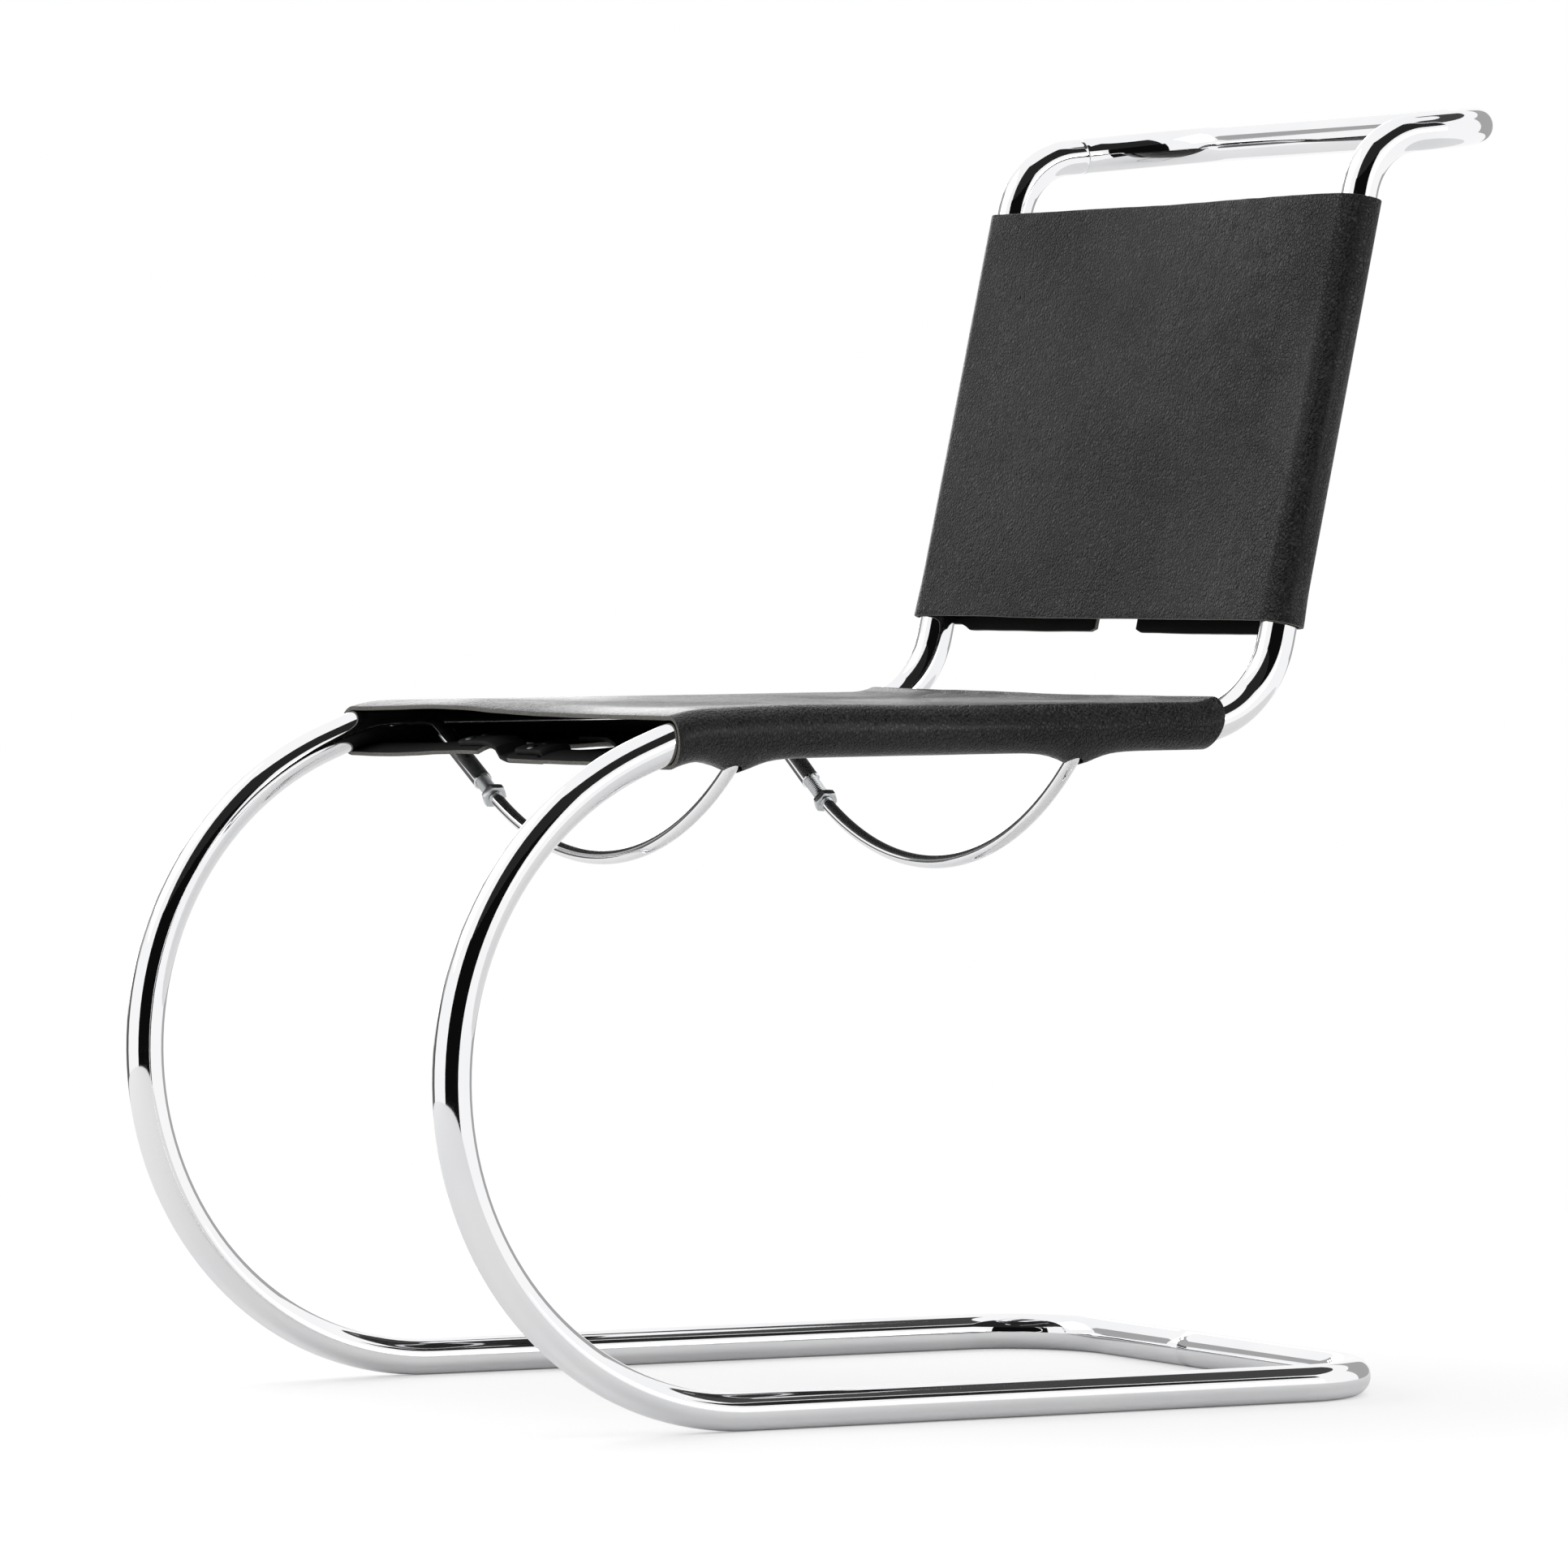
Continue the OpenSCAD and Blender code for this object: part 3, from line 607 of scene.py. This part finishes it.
def seat_place(x, off, d):
    """A place on or near the seat sling: x across, off the rail's middle, d along the rail."""
    room = max(0, 1 - (x / SIDE_X) ** 2)
    if off > 0:
        front = room * bump((d - SEAT_EDGE) / BULGE_LENGTH)
        rise = -SEAT_SAG * room ** 2
        rise += sum(front * high * bump((x - at) / width) for high, at, width in FRONT_BULGES)
        rise += LOOSE_RISE * bump((d - LOOSE_AT) / LOOSE_LENGTH) * ease((x - LOOSE_FROM) / LOOSE_WIDTH)
        off += rise * ease(off / WRAP_R * 2)
    else:
        if x < SEAT_GAP_MIDDLE:
            lift = FAR_FLAP_LIFT + FRONT_FLAP_LIFT * bump((d - SEAT_EDGE) / FRONT_FLAP_LENGTH)
            lift *= ease((x + FLAP_TAUT) / FAR_FLAP_WIDTH)
        else:
            lift = NEAR_FLAP_LIFT * ease((FLAP_TAUT - x) / NEAR_FLAP_WIDTH)
        between = 2 * pi * (d - SEAT_STRAPS[0]) / (SEAT_STRAPS[1] - SEAT_STRAPS[0])
        off += (lift - FLAP_HANG * room * (1 - cos(between))) * ease(-off / WRAP_R * 2)
        for peg in PLACES:
            across = (x - SIDE_X + LIP_INWARD) / LIP_R
            along = (d - peg - LIP_BEHIND) / LIP_LENGTH
            lip = exp(-(across ** 2 + along ** 2) ** LIP_POINT)
            off -= LIP_DROP * lip * ease(-off / WRAP_R * LIP_GRIP)
    place = seat_side(d, off) + SHIFT
    place.x = x
    return place


def back_place(x, off, d):
    """A place on or near the back sling: x across, off the uprights' middle to the front, d up along them."""
    room = max(0, 1 - (x / SIDE_X) ** 2)
    if off > 0:
        off -= BACK_HOLLOW * room ** 2
        pucker = bump((x - PUCKER_X) / PUCKER_W) * bump((d - PUCKER_D) / PUCKER_H)
        crease = noise.noise(Vector((x * 60 + d * 25, d * 95, 7.1)))
        off += pucker * (PUCKER_RISE + CREASE_RISE * crease) * ease((SIDE_X - abs(x)) / PUCKER_END)
    else:
        off += BACK_FLAP_LIFT * room * bump((d - BACK_LOW) / BACK_FLAP_LENGTH)
    flare = FLARE * bump((d - BACK_LOW) / FLARE_H) * ease((abs(x) - SIDE_X) / FLARE_W)
    place = UPRIGHT_A + d * unit(BACK_H) + off * normal(BACK_H) + SHIFT
    place.x = x + (flare if x > 0 else -flare)
    return place


def section(gap, middle):
    """Stations (s, x, off) round a sling, from the right flap's edge over its front to the left flap's."""
    right, left = middle + gap / 2, middle - gap / 2
    cell, turn_cells = 0.006, 20
    stations = []

    def flat(start, end, off, s):
        length = abs(end - start)
        count = ceil(length / cell)
        for i in range(count):
            stations.append((s + length * i / count, start + (end - start) * i / count, off))
        return s + length

    def half(side, s):
        length = pi * WRAP_R
        for i in range(turn_cells):
            a = pi * i / turn_cells - side * pi / 2
            stations.append((s + length * i / turn_cells, side * SIDE_X + WRAP_R * cos(a), WRAP_R * sin(a)))
        return s + length

    s = flat(right, SIDE_X, -WRAP_R, 0)
    s = half(1, s)
    s = flat(SIDE_X, -SIDE_X, WRAP_R, s)
    s = half(-1, s)
    s = flat(-SIDE_X, left, -WRAP_R, s)
    stations.append((s, left, -WRAP_R))
    return stations


def surface(name, grid):
    """A surface from rows of (place, flat place), whose UV map is the flat place in metres."""
    mesh = bpy.data.meshes.new(name)
    obj = bpy.data.objects.new(name, mesh)
    bpy.context.scene.collection.objects.link(obj)
    bm = bmesh.new()
    uv = bm.loops.layers.uv.new("flat")
    rows, flat = [], {}
    for line in grid:
        row = [bm.verts.new(place) for place, _ in line]
        flat.update(zip(row, [spot for _, spot in line]))
        rows.append(row)
    for a, b in zip(rows, rows[1:]):
        for i in range(len(a) - 1):
            face = bm.faces.new((a[i], a[i + 1], b[i + 1], b[i]))
            face.smooth = True
            for loop in face.loops:
                loop[uv].uv = flat[loop.vert]
    bm.to_mesh(mesh)
    bm.free()
    return obj


def leather_sheet(name, stations, rows, ends, place):
    """A slightly uneven sheet round the stations. ends gives a station's two limits along the tubes."""
    grid = []
    for s, x, off in stations:
        low, high = ends(x, off)
        loose = 1 if abs(x) < SIDE_X else WRAP_WAVES
        line = []
        for j in range(rows + 1):
            d = low + (high - low) * j / rows
            wave = loose * sum(height * noise.noise(Vector((s * across, d * along, seed)))
                for height, across, along, seed in LEATHER_WAVES)
            line.append((place(x, off, d) + Vector((0, wave, wave)), (s, d)))
        grid.append(line)
    return surface(name, grid)


def hide_thickness(obj):
    """Gives a sheet its thickness, with the flesh side inside, and rounds its raw edges."""
    modify(obj, "SOLIDIFY", thickness=LEATHER_T, offset=0, use_even_offset=True, material_offset=1,
        material_offset_rim=2)
    rounded(obj, LEATHER_EDGE)


def dress(obj, *materials):
    obj.data.materials.clear()
    for m in materials:
        obj.data.materials.append(m)


def seat_ends(x, off):
    tilt = off / WRAP_R
    corner = 0
    if off < 0 and x > SEAT_GAP_MIDDLE:
        corner = SEAT_CORNER * bump((x - SEAT_GAP_MIDDLE - SEAT_GAP / 2) / SEAT_CORNER_W)
    return SEAT_FRONT + SEAT_FRONT_SLANT * tilt + corner, SEAT_REAR + SEAT_REAR_SLANT * tilt


def back_ends(x, off):
    low = BACK_LOW
    if off < -WRAP_R * 0.99:
        low -= BACK_FLAP_DROP * ease((SIDE_X - BACK_FLAP_FROM - abs(x)) / BACK_FLAP_OVER)
        low += BACK_CORNER * bump((abs(x) - BACK_GAP / 2) / BACK_CORNER_W)
    return low, BACK_HIGH + BACK_HIGH_SLANT * (1 - off / WRAP_R) / 2


def make_seat():
    obj = leather_sheet("seat_leather", section(SEAT_GAP, SEAT_GAP_MIDDLE), 68, seat_ends, seat_place)
    dress(obj, leather, flesh, raw_edge)
    hide_thickness(obj)
    for d, slope, _ in SPREADERS.values():
        around = SOCKET_R + LEATHER_PLAY
        cutter = turned("cutter", [(around, 0), (around, SOCKET_L)], sides=32)
        cut(obj, settle(cutter, on_screw(d, slope)))
        peg = Vector((SIDE_X - PEG_SLIT_IN, 0, -WRAP_R - PEG_SLIT_DROP))
        cut(obj, drill(at_rail(d) @ peg, Z_AXIS, ROD_R + PEG_SLIT_PLAY, PEG_SLIT_DEPTH))
    for d in SEAT_STRAPS:
        cut(obj, strap_slot(seat_place, SEAT_GAP, SEAT_GAP_MIDDLE, d))
    smooth(obj, 40)
    finish_piece(obj, "root", "leather", "seat_sling", dressed=True)


def make_back():
    obj = leather_sheet("back_leather", section(BACK_GAP, 0), 48, back_ends, back_place)
    dress(obj, leather, flesh, raw_edge)
    hide_thickness(obj)
    for d in BACK_STRAPS:
        cut(obj, strap_slot(back_place, BACK_GAP, 0, d))
    smooth(obj, 40)
    finish_piece(obj, "root", "leather", "back_sling", dressed=True)


def on_flap(place, x, d, across=None):
    """The frame of a place on a flap: X across the chair, Y along the tubes and Z through the leather."""
    step = 0.001
    ahead = (place(x, -WRAP_R, d + step) - place(x, -WRAP_R, d - step)).normalized()
    if across is None:
        across = (place(x + step, -WRAP_R, d) - place(x - step, -WRAP_R, d)).normalized()
    turn = Matrix((across, ahead, across.cross(ahead))).transposed().to_4x4()
    turn.translation = place(x, -WRAP_R, d)
    return turn


def strap_slot(place, gap, middle, d):
    """A block that cuts the slot a strap's loop goes through."""
    deselect()
    bpy.ops.mesh.primitive_cube_add(size=1)
    block = bpy.context.object
    size = Matrix.Diagonal((SLOT_W, STRAP_W + SLOT_PLAY, SLOT_DEPTH, 1))
    block.data.transform(on_flap(place, middle + gap / 2 + STRAP_LOOP + SLOT_W / 2, d, X_AXIS) @ size)
    return block


def strap_line(gap):
    """The middle line of a strap seen from its end: x from the right flap's edge, height over the flaps."""
    high = LEATHER_T / 2 + LEATHER_PLAY + STRAP_T / 2
    start, dip_from, dip_to = -gap - STRAP_END, -gap + STRAP_DIP_FROM, -STRAP_DIP_TO
    cells, dips, loops = 8, 10, 12
    line = [(start + (dip_from - start) * i / cells, high) for i in range(cells + 1)]
    line += [(dip_from + (dip_to - dip_from) * i / dips, high - 2 * high * ease(i / dips))
        for i in range(1, dips + 1)]
    line += [(dip_to + (STRAP_LOOP - dip_to) * i / cells, -high) for i in range(1, cells + 1)]
    line += [(STRAP_LOOP + high * sin(pi * i / loops), -high * cos(pi * i / loops)) for i in range(1, loops)]
    line += [(STRAP_LOOP - (STRAP_LOOP - RIVET_EDGE / 2) * i / cells, high) for i in range(cells + 1)]
    return line


def strap(name, place, gap, middle, d):
    """A strap with rounded ends, along its middle line."""
    line = strap_line(gap)
    lengths = [0]
    for (x0, z0), (x1, z1) in zip(line, line[1:]):
        lengths.append(lengths[-1] + hypot(x1 - x0, z1 - z0))
    cells = 8
    grid = []
    for (x, z), s in zip(line, lengths):
        end = min(s, lengths[-1] - s)
        half = STRAP_W / 2 - STRAP_CORNER * (1 - min(1, end / STRAP_CORNER)) ** 2
        sides = [half * (1 - 2 * j / cells) for j in range(cells + 1)]
        grid.append([(place(middle + gap / 2 + x, -WRAP_R + z, d + y), (s, y)) for y in sides])
    obj = surface(name, grid)
    modify(obj, "SOLIDIFY", thickness=STRAP_T, offset=0, use_even_offset=True)
    rounded(obj, STRAP_EDGE, 50)
    smooth(obj, 40)
    return obj


def rivet(under):
    """A rivet with two domed heads through a flap, the strap on it, and what is under it."""
    bottom = -LEATHER_T / 2 - under
    top = LEATHER_T / 2 + LEATHER_PLAY + STRAP_T
    low_head = [(r, bottom - RIVET_HEAD_H * share) for r, share in reversed(RIVET_DOME)]
    high_head = [(r, top + RIVET_HEAD_H * share) for r, share in RIVET_DOME]
    return turned("rivet", low_head + high_head, sides=24)


def rivet_set(name, place, gap, middle, ds):
    """The rivets of all straps of one sling: two at each strap's end and two in its loop."""
    made = []
    for d in ds:
        for x, under in ((middle - gap / 2 - STRAP_END + RIVET_EDGE, 0),
                (middle + gap / 2 + 2 * RIVET_EDGE, STRAP_T + LEATHER_PLAY)):
            for y in (-RIVET_PITCH / 2, RIVET_PITCH / 2):
                obj = rivet(under)
                obj.data.transform(on_flap(place, x, d + y))
                made.append(obj)
    obj = joined(made, name)
    smooth(obj, 40)
    return obj


def make_straps():
    slings = {"seat": (seat_place, SEAT_GAP, SEAT_GAP_MIDDLE, SEAT_STRAPS),
        "back": (back_place, BACK_GAP, 0, BACK_STRAPS)}
    for sling, (*layout, ds) in slings.items():
        for i, d in enumerate(ds, 1):
            finish_piece(strap(f"strap_{sling}_{i}", *layout, d), "root", "strap", f"{sling}_strap_{i}")
    for sling, layout in slings.items():
        finish_piece(rivet_set(f"rivets_{sling}", *layout), "root", "rivet", f"{sling}_strap_rivets")


# Materials

def group(name, inputs, outputs):
    """A shader node group with named float inputs and outputs. The first input is its vector."""
    tree = bpy.data.node_groups.new(name, "ShaderNodeTree")
    tree.interface.new_socket("Vector", in_out="INPUT", socket_type="NodeSocketVector")
    for label, value in inputs:
        s = tree.interface.new_socket(label, in_out="INPUT", socket_type="NodeSocketFloat")
        s.default_value = value
    for label in outputs:
        tree.interface.new_socket(label, in_out="OUTPUT", socket_type="NodeSocketFloat")
    return tree, tree.nodes.new("NodeGroupInput"), tree.nodes.new("NodeGroupOutput")


def node(tree, kind, settings=None, **inputs):
    """A node with its settings, and its inputs set to a value or linked from a socket."""
    n = tree.nodes.new(kind)
    for key, value in (settings or {}).items():
        setattr(n, key, value)
    for key, value in inputs.items():
        socket = n.inputs[int(key[1:])] if key[0] == "_" else n.inputs[key.replace("_", " ")]
        if isinstance(value, bpy.types.NodeSocket):
            tree.links.new(value, socket)
        else:
            socket.default_value = value
    return n


def mixed(tree, operation, a, b, c=None):
    inputs = {"_0": a, "_1": b}
    if c is not None:
        inputs["_2"] = c
    return node(tree, "ShaderNodeMath", {"operation": operation}, **inputs).outputs[0]


def mapped(tree, value, from_range, to_range=(0.0, 1.0)):
    return node(tree, "ShaderNodeMapRange", Value=value, From_Min=from_range[0], From_Max=from_range[1],
        To_Min=to_range[0], To_Max=to_range[1]).outputs[0]


def noisy(tree, vector, scale, detail=3.0, rough=0.5):
    return node(tree, "ShaderNodeTexNoise", Vector=vector, Scale=scale, Detail=detail,
        Roughness=rough).outputs[0]


def make_marks():
    """Fine scratches and smudges, as on handled metal and leather."""
    tree, source, sink = group("fine_marks", [("Scale", 1)], ["Scratches", "Smudges"])
    size = source.outputs["Scale"]
    along = node(tree, "ShaderNodeMapping", Vector=source.outputs["Vector"], Scale=(1, 14, 3)).outputs[0]
    lines = noisy(tree, along, mixed(tree, "MULTIPLY", size, 120.0), detail=2.0)
    tree.links.new(mapped(tree, lines, (0.62, 0.74)), sink.inputs["Scratches"])
    blots = noisy(tree, source.outputs["Vector"], mixed(tree, "MULTIPLY", size, 9.0), detail=4.0)
    tree.links.new(mapped(tree, blots, (0.4, 0.7)), sink.inputs["Smudges"])
    return tree


def make_grain():
    """Leather grain: pebbles with creases between them, over longer wrinkles."""
    tree, source, sink = group("hide_grain", [("Scale", 1), ("Wrinkles", 1)], ["Height"])
    size = source.outputs["Scale"]
    vector = source.outputs["Vector"]
    drift = node(tree, "ShaderNodeTexNoise", Vector=vector, Scale=mixed(tree, "MULTIPLY", size, 90.0),
        Detail=2.0)
    push = node(tree, "ShaderNodeVectorMath", {"operation": "SCALE"}, _0=drift.outputs["Color"], Scale=0.006)
    bent = node(tree, "ShaderNodeVectorMath", {"operation": "ADD"}, _0=vector, _1=push.outputs[0]).outputs[0]
    pebbles = node(tree, "ShaderNodeTexVoronoi", {"feature": "DISTANCE_TO_EDGE"}, Vector=bent,
        Scale=mixed(tree, "MULTIPLY", size, 380.0)).outputs[0]
    folds = noisy(tree, bent, mixed(tree, "MULTIPLY", size, 140.0), detail=4.0, rough=0.6)
    creases = mapped(tree, pebbles, (0.0, 0.25))
    weight = mixed(tree, "MULTIPLY", folds, source.outputs["Wrinkles"])
    tree.links.new(mixed(tree, "MULTIPLY_ADD", creases, 0.45, weight), sink.inputs["Height"])
    return tree


def material(name, color, rough, metallic=0.0):
    m = bpy.data.materials.new(name)
    m.use_nodes = True
    m.diffuse_color = (*color, 1)
    bsdf = m.node_tree.nodes["Principled BSDF"]
    bsdf.inputs["Base Color"].default_value = (*color, 1)
    bsdf.inputs["Roughness"].default_value = rough
    bsdf.inputs["Metallic"].default_value = metallic
    return m, m.node_tree, bsdf


def placed(tree, kind, vector, **inputs):
    n = tree.nodes.new("ShaderNodeGroup")
    n.node_tree = kind
    tree.links.new(vector, n.inputs["Vector"])
    for key, value in inputs.items():
        if isinstance(value, bpy.types.NodeSocket):
            tree.links.new(value, n.inputs[key])
        else:
            n.inputs[key].default_value = value
    return n


def blend_colors(tree, share, a, b):
    n = node(tree, "ShaderNodeMix", {"data_type": "RGBA"})
    tree.links.new(share, n.inputs["Factor"])
    n.inputs[6].default_value = (*a, 1)
    n.inputs[7].default_value = (*b, 1)
    return n.outputs[2]


def object_coordinates(tree):
    return tree.nodes.new("ShaderNodeTexCoord").outputs["Object"]


def relief(tree, bsdf, height, depth, strength):
    n = node(tree, "ShaderNodeBump", Height=height, Distance=depth, Strength=strength)
    tree.links.new(n.outputs[0], bsdf.inputs["Normal"])


def make_metal(name, color, dull, rough, spread, depth):
    """Plated metal: its smudges change roughness and colour, and its scratches the surface."""
    m, tree, bsdf = material(name, color, rough, 1.0)
    marks_here = placed(tree, marks, object_coordinates(tree), Scale=1.0)
    smudges = marks_here.outputs["Smudges"]
    tree.links.new(blend_colors(tree, smudges, color, dull), bsdf.inputs["Base Color"])
    tree.links.new(mapped(tree, smudges, (0.0, 1.0), (rough, rough + spread)), bsdf.inputs["Roughness"])
    relief(tree, bsdf, marks_here.outputs["Scratches"], depth, strength=0.06)
    return m


def flat_map(tree):
    return node(tree, "ShaderNodeUVMap", {"uv_map": "flat"}).outputs[0]


def make_leather():
    """Black hide with a satin surface and a fine grain, under a thin dressing that shines at a low angle."""
    color, worn = (0.007, 0.007, 0.0075), (0.012, 0.012, 0.0125)
    m, tree, bsdf = material("leather", color, 0.42)
    for key, value in (("Specular IOR Level", 0.3), ("Coat Weight", 0.3), ("Coat IOR", 1.26),
            ("Coat Roughness", 0.2)):
        bsdf.inputs[key].default_value = value
    uv = flat_map(tree)
    patches = mapped(tree, noisy(tree, uv, 6.0, detail=2.0), (0.4, 0.62), (0.2, 1.6))
    dressing = mapped(tree, noisy(tree, uv, 5.0, detail=3.0), (0.36, 0.64), (0.05, 0.6))
    tree.links.new(dressing, bsdf.inputs["Coat Weight"])
    height = placed(tree, grain, uv, Scale=1.0, Wrinkles=patches).outputs["Height"]
    smudges = placed(tree, marks, uv, Scale=2.0).outputs["Smudges"]
    tree.links.new(blend_colors(tree, smudges, color, worn), bsdf.inputs["Base Color"])
    tree.links.new(mapped(tree, height, (0.2, 1.1), (0.42, 0.3)), bsdf.inputs["Roughness"])
    relief(tree, bsdf, height, depth=0.0026, strength=1.0)
    return m


def make_flesh_and_shade():
    """The inner side of the hide, dyed black and matt, and a little darker than the grain side as painted
    shade for the hollow inside the slings.
    """
    # The base colour is darker than the grain side's: painted shade for the hollow inside the slings, which
    # this side faces
    color, pale = (0.005, 0.005, 0.005), (0.011, 0.0105, 0.010)
    m, tree, bsdf = material("flesh_side_and_shade", color, 0.75)
    bsdf.inputs["Specular IOR Level"].default_value = 0.15
    fibres = noisy(tree, flat_map(tree), 900.0, detail=4.0, rough=0.7)
    tree.links.new(blend_colors(tree, fibres, color, pale), bsdf.inputs["Base Color"])
    relief(tree, bsdf, fibres, depth=0.0004, strength=0.6)
    return m


def make_raw_edge():
    """The cut edge of the hide: grey, fibrous and uneven."""
    color, pale = (0.045, 0.044, 0.040), (0.27, 0.26, 0.235)
    m, tree, bsdf = material("raw_edge", color, 0.9)
    fibres = noisy(tree, object_coordinates(tree), 1400.0, detail=5.0, rough=0.75)
    pale_share = mapped(tree, fibres, (0.35, 0.68))
    tree.links.new(blend_colors(tree, pale_share, color, pale), bsdf.inputs["Base Color"])
    relief(tree, bsdf, fibres, depth=0.0005, strength=0.8)
    return m


def make_strap_leather():
    """Strap leather, smoother than the hide, with its own fine grain."""
    color, worn = (0.007, 0.007, 0.0075), (0.012, 0.012, 0.012)
    m, tree, bsdf = material("strap", color, 0.6)
    bsdf.inputs["Specular IOR Level"].default_value = 0.2
    uv = flat_map(tree)
    height = placed(tree, grain, uv, Scale=1.4, Wrinkles=0.6).outputs["Height"]
    smudges = placed(tree, marks, uv, Scale=4.0).outputs["Smudges"]
    tree.links.new(blend_colors(tree, smudges, color, worn), bsdf.inputs["Base Color"])
    relief(tree, bsdf, height, depth=0.0003, strength=0.4)
    return m


def finish_piece(obj, body, slot, cad_node, dressed=False):
    """Gives a piece the material of its slot and its body, and hides the solid that it stands for."""
    if not dressed:
        dress(obj, finishes[slot])
    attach(obj, body)
    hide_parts(cad_node)


# Studio

def make_camera():
    """The photograph's view, for an image 1932 pixels wide and high."""
    azimuth, elevation, roll = 1.0204926, 0.0226136, 0.0106906
    image_width, sensor = 1932, 36
    back = Vector((sin(azimuth) * cos(elevation), -cos(azimuth) * cos(elevation), sin(elevation)))
    across = Vector((cos(azimuth), sin(azimuth), 0))
    up = back.cross(across)
    right = cos(roll) * across + sin(roll) * up
    up = -sin(roll) * across + cos(roll) * up
    turn = Matrix((right, up, back)).transposed()
    target = Vector((0, 0.3387, 0.400))
    offset = Vector((0.32223616, -0.00577693, -5.66683394))
    data = bpy.data.cameras.new("camera")
    data.sensor_width = sensor
    data.lens = 10093.22842 / image_width * sensor
    data.clip_start, data.clip_end = 0.05, 80
    cam = bpy.data.objects.new("camera", data)
    bpy.context.scene.collection.objects.link(cam)
    cam.matrix_world = Matrix.Translation(target - turn @ offset) @ turn.to_4x4()
    bpy.context.scene.camera = cam


def bare_tree(owner):
    """The empty node tree of a new material or world."""
    owner.use_nodes = True
    owner.node_tree.nodes.clear()
    return owner.node_tree


def put_out(tree, shader, kind="ShaderNodeOutputMaterial"):
    tree.links.new(shader.outputs[0], tree.nodes.new(kind).inputs[0])


def make_world():
    """An even white studio. What looks at it directly, or in metal, sees plain white."""
    world = bpy.data.worlds.new("studio")
    bpy.context.scene.world = world
    tree = bare_tree(world)
    path = tree.nodes.new("ShaderNodeLightPath")
    seen = mixed(tree, "MAXIMUM", path.outputs["Is Camera Ray"],
        mixed(tree, "MAXIMUM", path.outputs["Is Glossy Ray"], path.outputs["Is Transmission Ray"]))
    strength = mapped(tree, seen, (0.0, 1.0), (WORLD_LIGHT, 1.0))
    background = node(tree, "ShaderNodeBackground", Color=(1, 1, 1, 1), Strength=strength)
    put_out(tree, background, "ShaderNodeOutputWorld")


def make_floor():
    """A pale floor that fades into the white surroundings and keeps the chair's shadow."""
    deselect()
    bpy.ops.mesh.primitive_circle_add(vertices=96, radius=FLOOR_R, fill_type="NGON")
    obj = bpy.context.object
    obj.name = "studio_floor"
    m = bpy.data.materials.new("studio_floor")
    tree = bare_tree(m)
    path = tree.nodes.new("ShaderNodeLightPath")
    diffuse = node(tree, "ShaderNodeBsdfDiffuse", Color=(*FLOOR_COLOR, 1))
    glow = node(tree, "ShaderNodeEmission",
        Strength=mixed(tree, "MULTIPLY", path.outputs["Is Camera Ray"], FLOOR_GLOW))
    put_out(tree, node(tree, "ShaderNodeAddShader", _0=diffuse.outputs[0], _1=glow.outputs[0]))
    dress(obj, m)


def card(name, from_azimuth, to_azimuth, low, high, strength):
    """A studio board or light far off, seen only in reflections."""
    step = 6
    start = Vector((sin(radians(from_azimuth)), -cos(radians(from_azimuth)), 0))
    deselect()
    bpy.ops.mesh.primitive_circle_add(vertices=3, radius=CARD_R)
    obj = bpy.context.object
    obj.name = name
    bm = bmesh.new()
    rows = max(1, ceil((high - low) / step))
    points = []
    for i in range(rows + 1):
        e = radians(low + (high - low) * i / rows)
        points.append(bm.verts.new(CARD_R * (cos(e) * start + sin(e) * Z_AXIS)))
    for a, b in zip(points, points[1:]):
        bm.edges.new((a, b))
    bm.to_mesh(obj.data)
    bm.free()
    in_edit(obj)
    bpy.ops.mesh.select_all(action="SELECT")
    span = to_azimuth - from_azimuth
    bpy.ops.mesh.spin(steps=ceil(span / step), angle=radians(span), center=(0, 0, 0), axis=(0, 0, -1))
    done()
    m = bpy.data.materials.new(name)
    tree = bare_tree(m)
    put_out(tree, node(tree, "ShaderNodeEmission", Color=(1, 1, 1, 1), Strength=strength))
    dress(obj, m)
    obj.visible_camera = False
    obj.visible_diffuse = False
    obj.visible_transmission = False
    obj.visible_shadow = False


def make_studio():
    make_world()
    make_floor()
    for board in CARDS:
        card(*board)
    bpy.ops.object.light_add(type="AREA", location=KEY_PLACE)
    key = bpy.context.object
    key.data.size = 2.5
    key.data.energy = 22
    key.rotation_euler = (KEY_TARGET - key.location).to_track_quat("-Z", "Y").to_euler()
    bpy.context.scene.view_settings.view_transform = "Standard"


make_camera()
marks = make_marks()
grain = make_grain()
leather = make_leather()
flesh = make_flesh_and_shade()
raw_edge = make_raw_edge()
finishes = {
    "chrome": make_metal("chrome", (0.93, 0.93, 0.94), (0.88, 0.885, 0.90), rough=0.03, spread=0.03,
        depth=0.00002),
    "zinc": make_metal("zinc", (0.72, 0.74, 0.75), (0.58, 0.60, 0.61), rough=0.22, spread=0.2, depth=0.0001),
    "spigot": make_metal("spigot", (0.5, 0.5, 0.52), (0.4, 0.4, 0.41), rough=0.3, spread=0.2, depth=0.0001),
    "rivet": make_metal("rivet", (0.16, 0.16, 0.17), (0.10, 0.10, 0.11), rough=0.28, spread=0.2,
        depth=0.0001),
    "strap": make_strap_leather(),
}
make_frame()
make_spreaders()
make_seat()
make_back()
make_straps()
for cad_name in ("floor_joint_spigot", "top_joint_spigot"):
    dress(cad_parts[cad_name], finishes["spigot"])
make_studio()
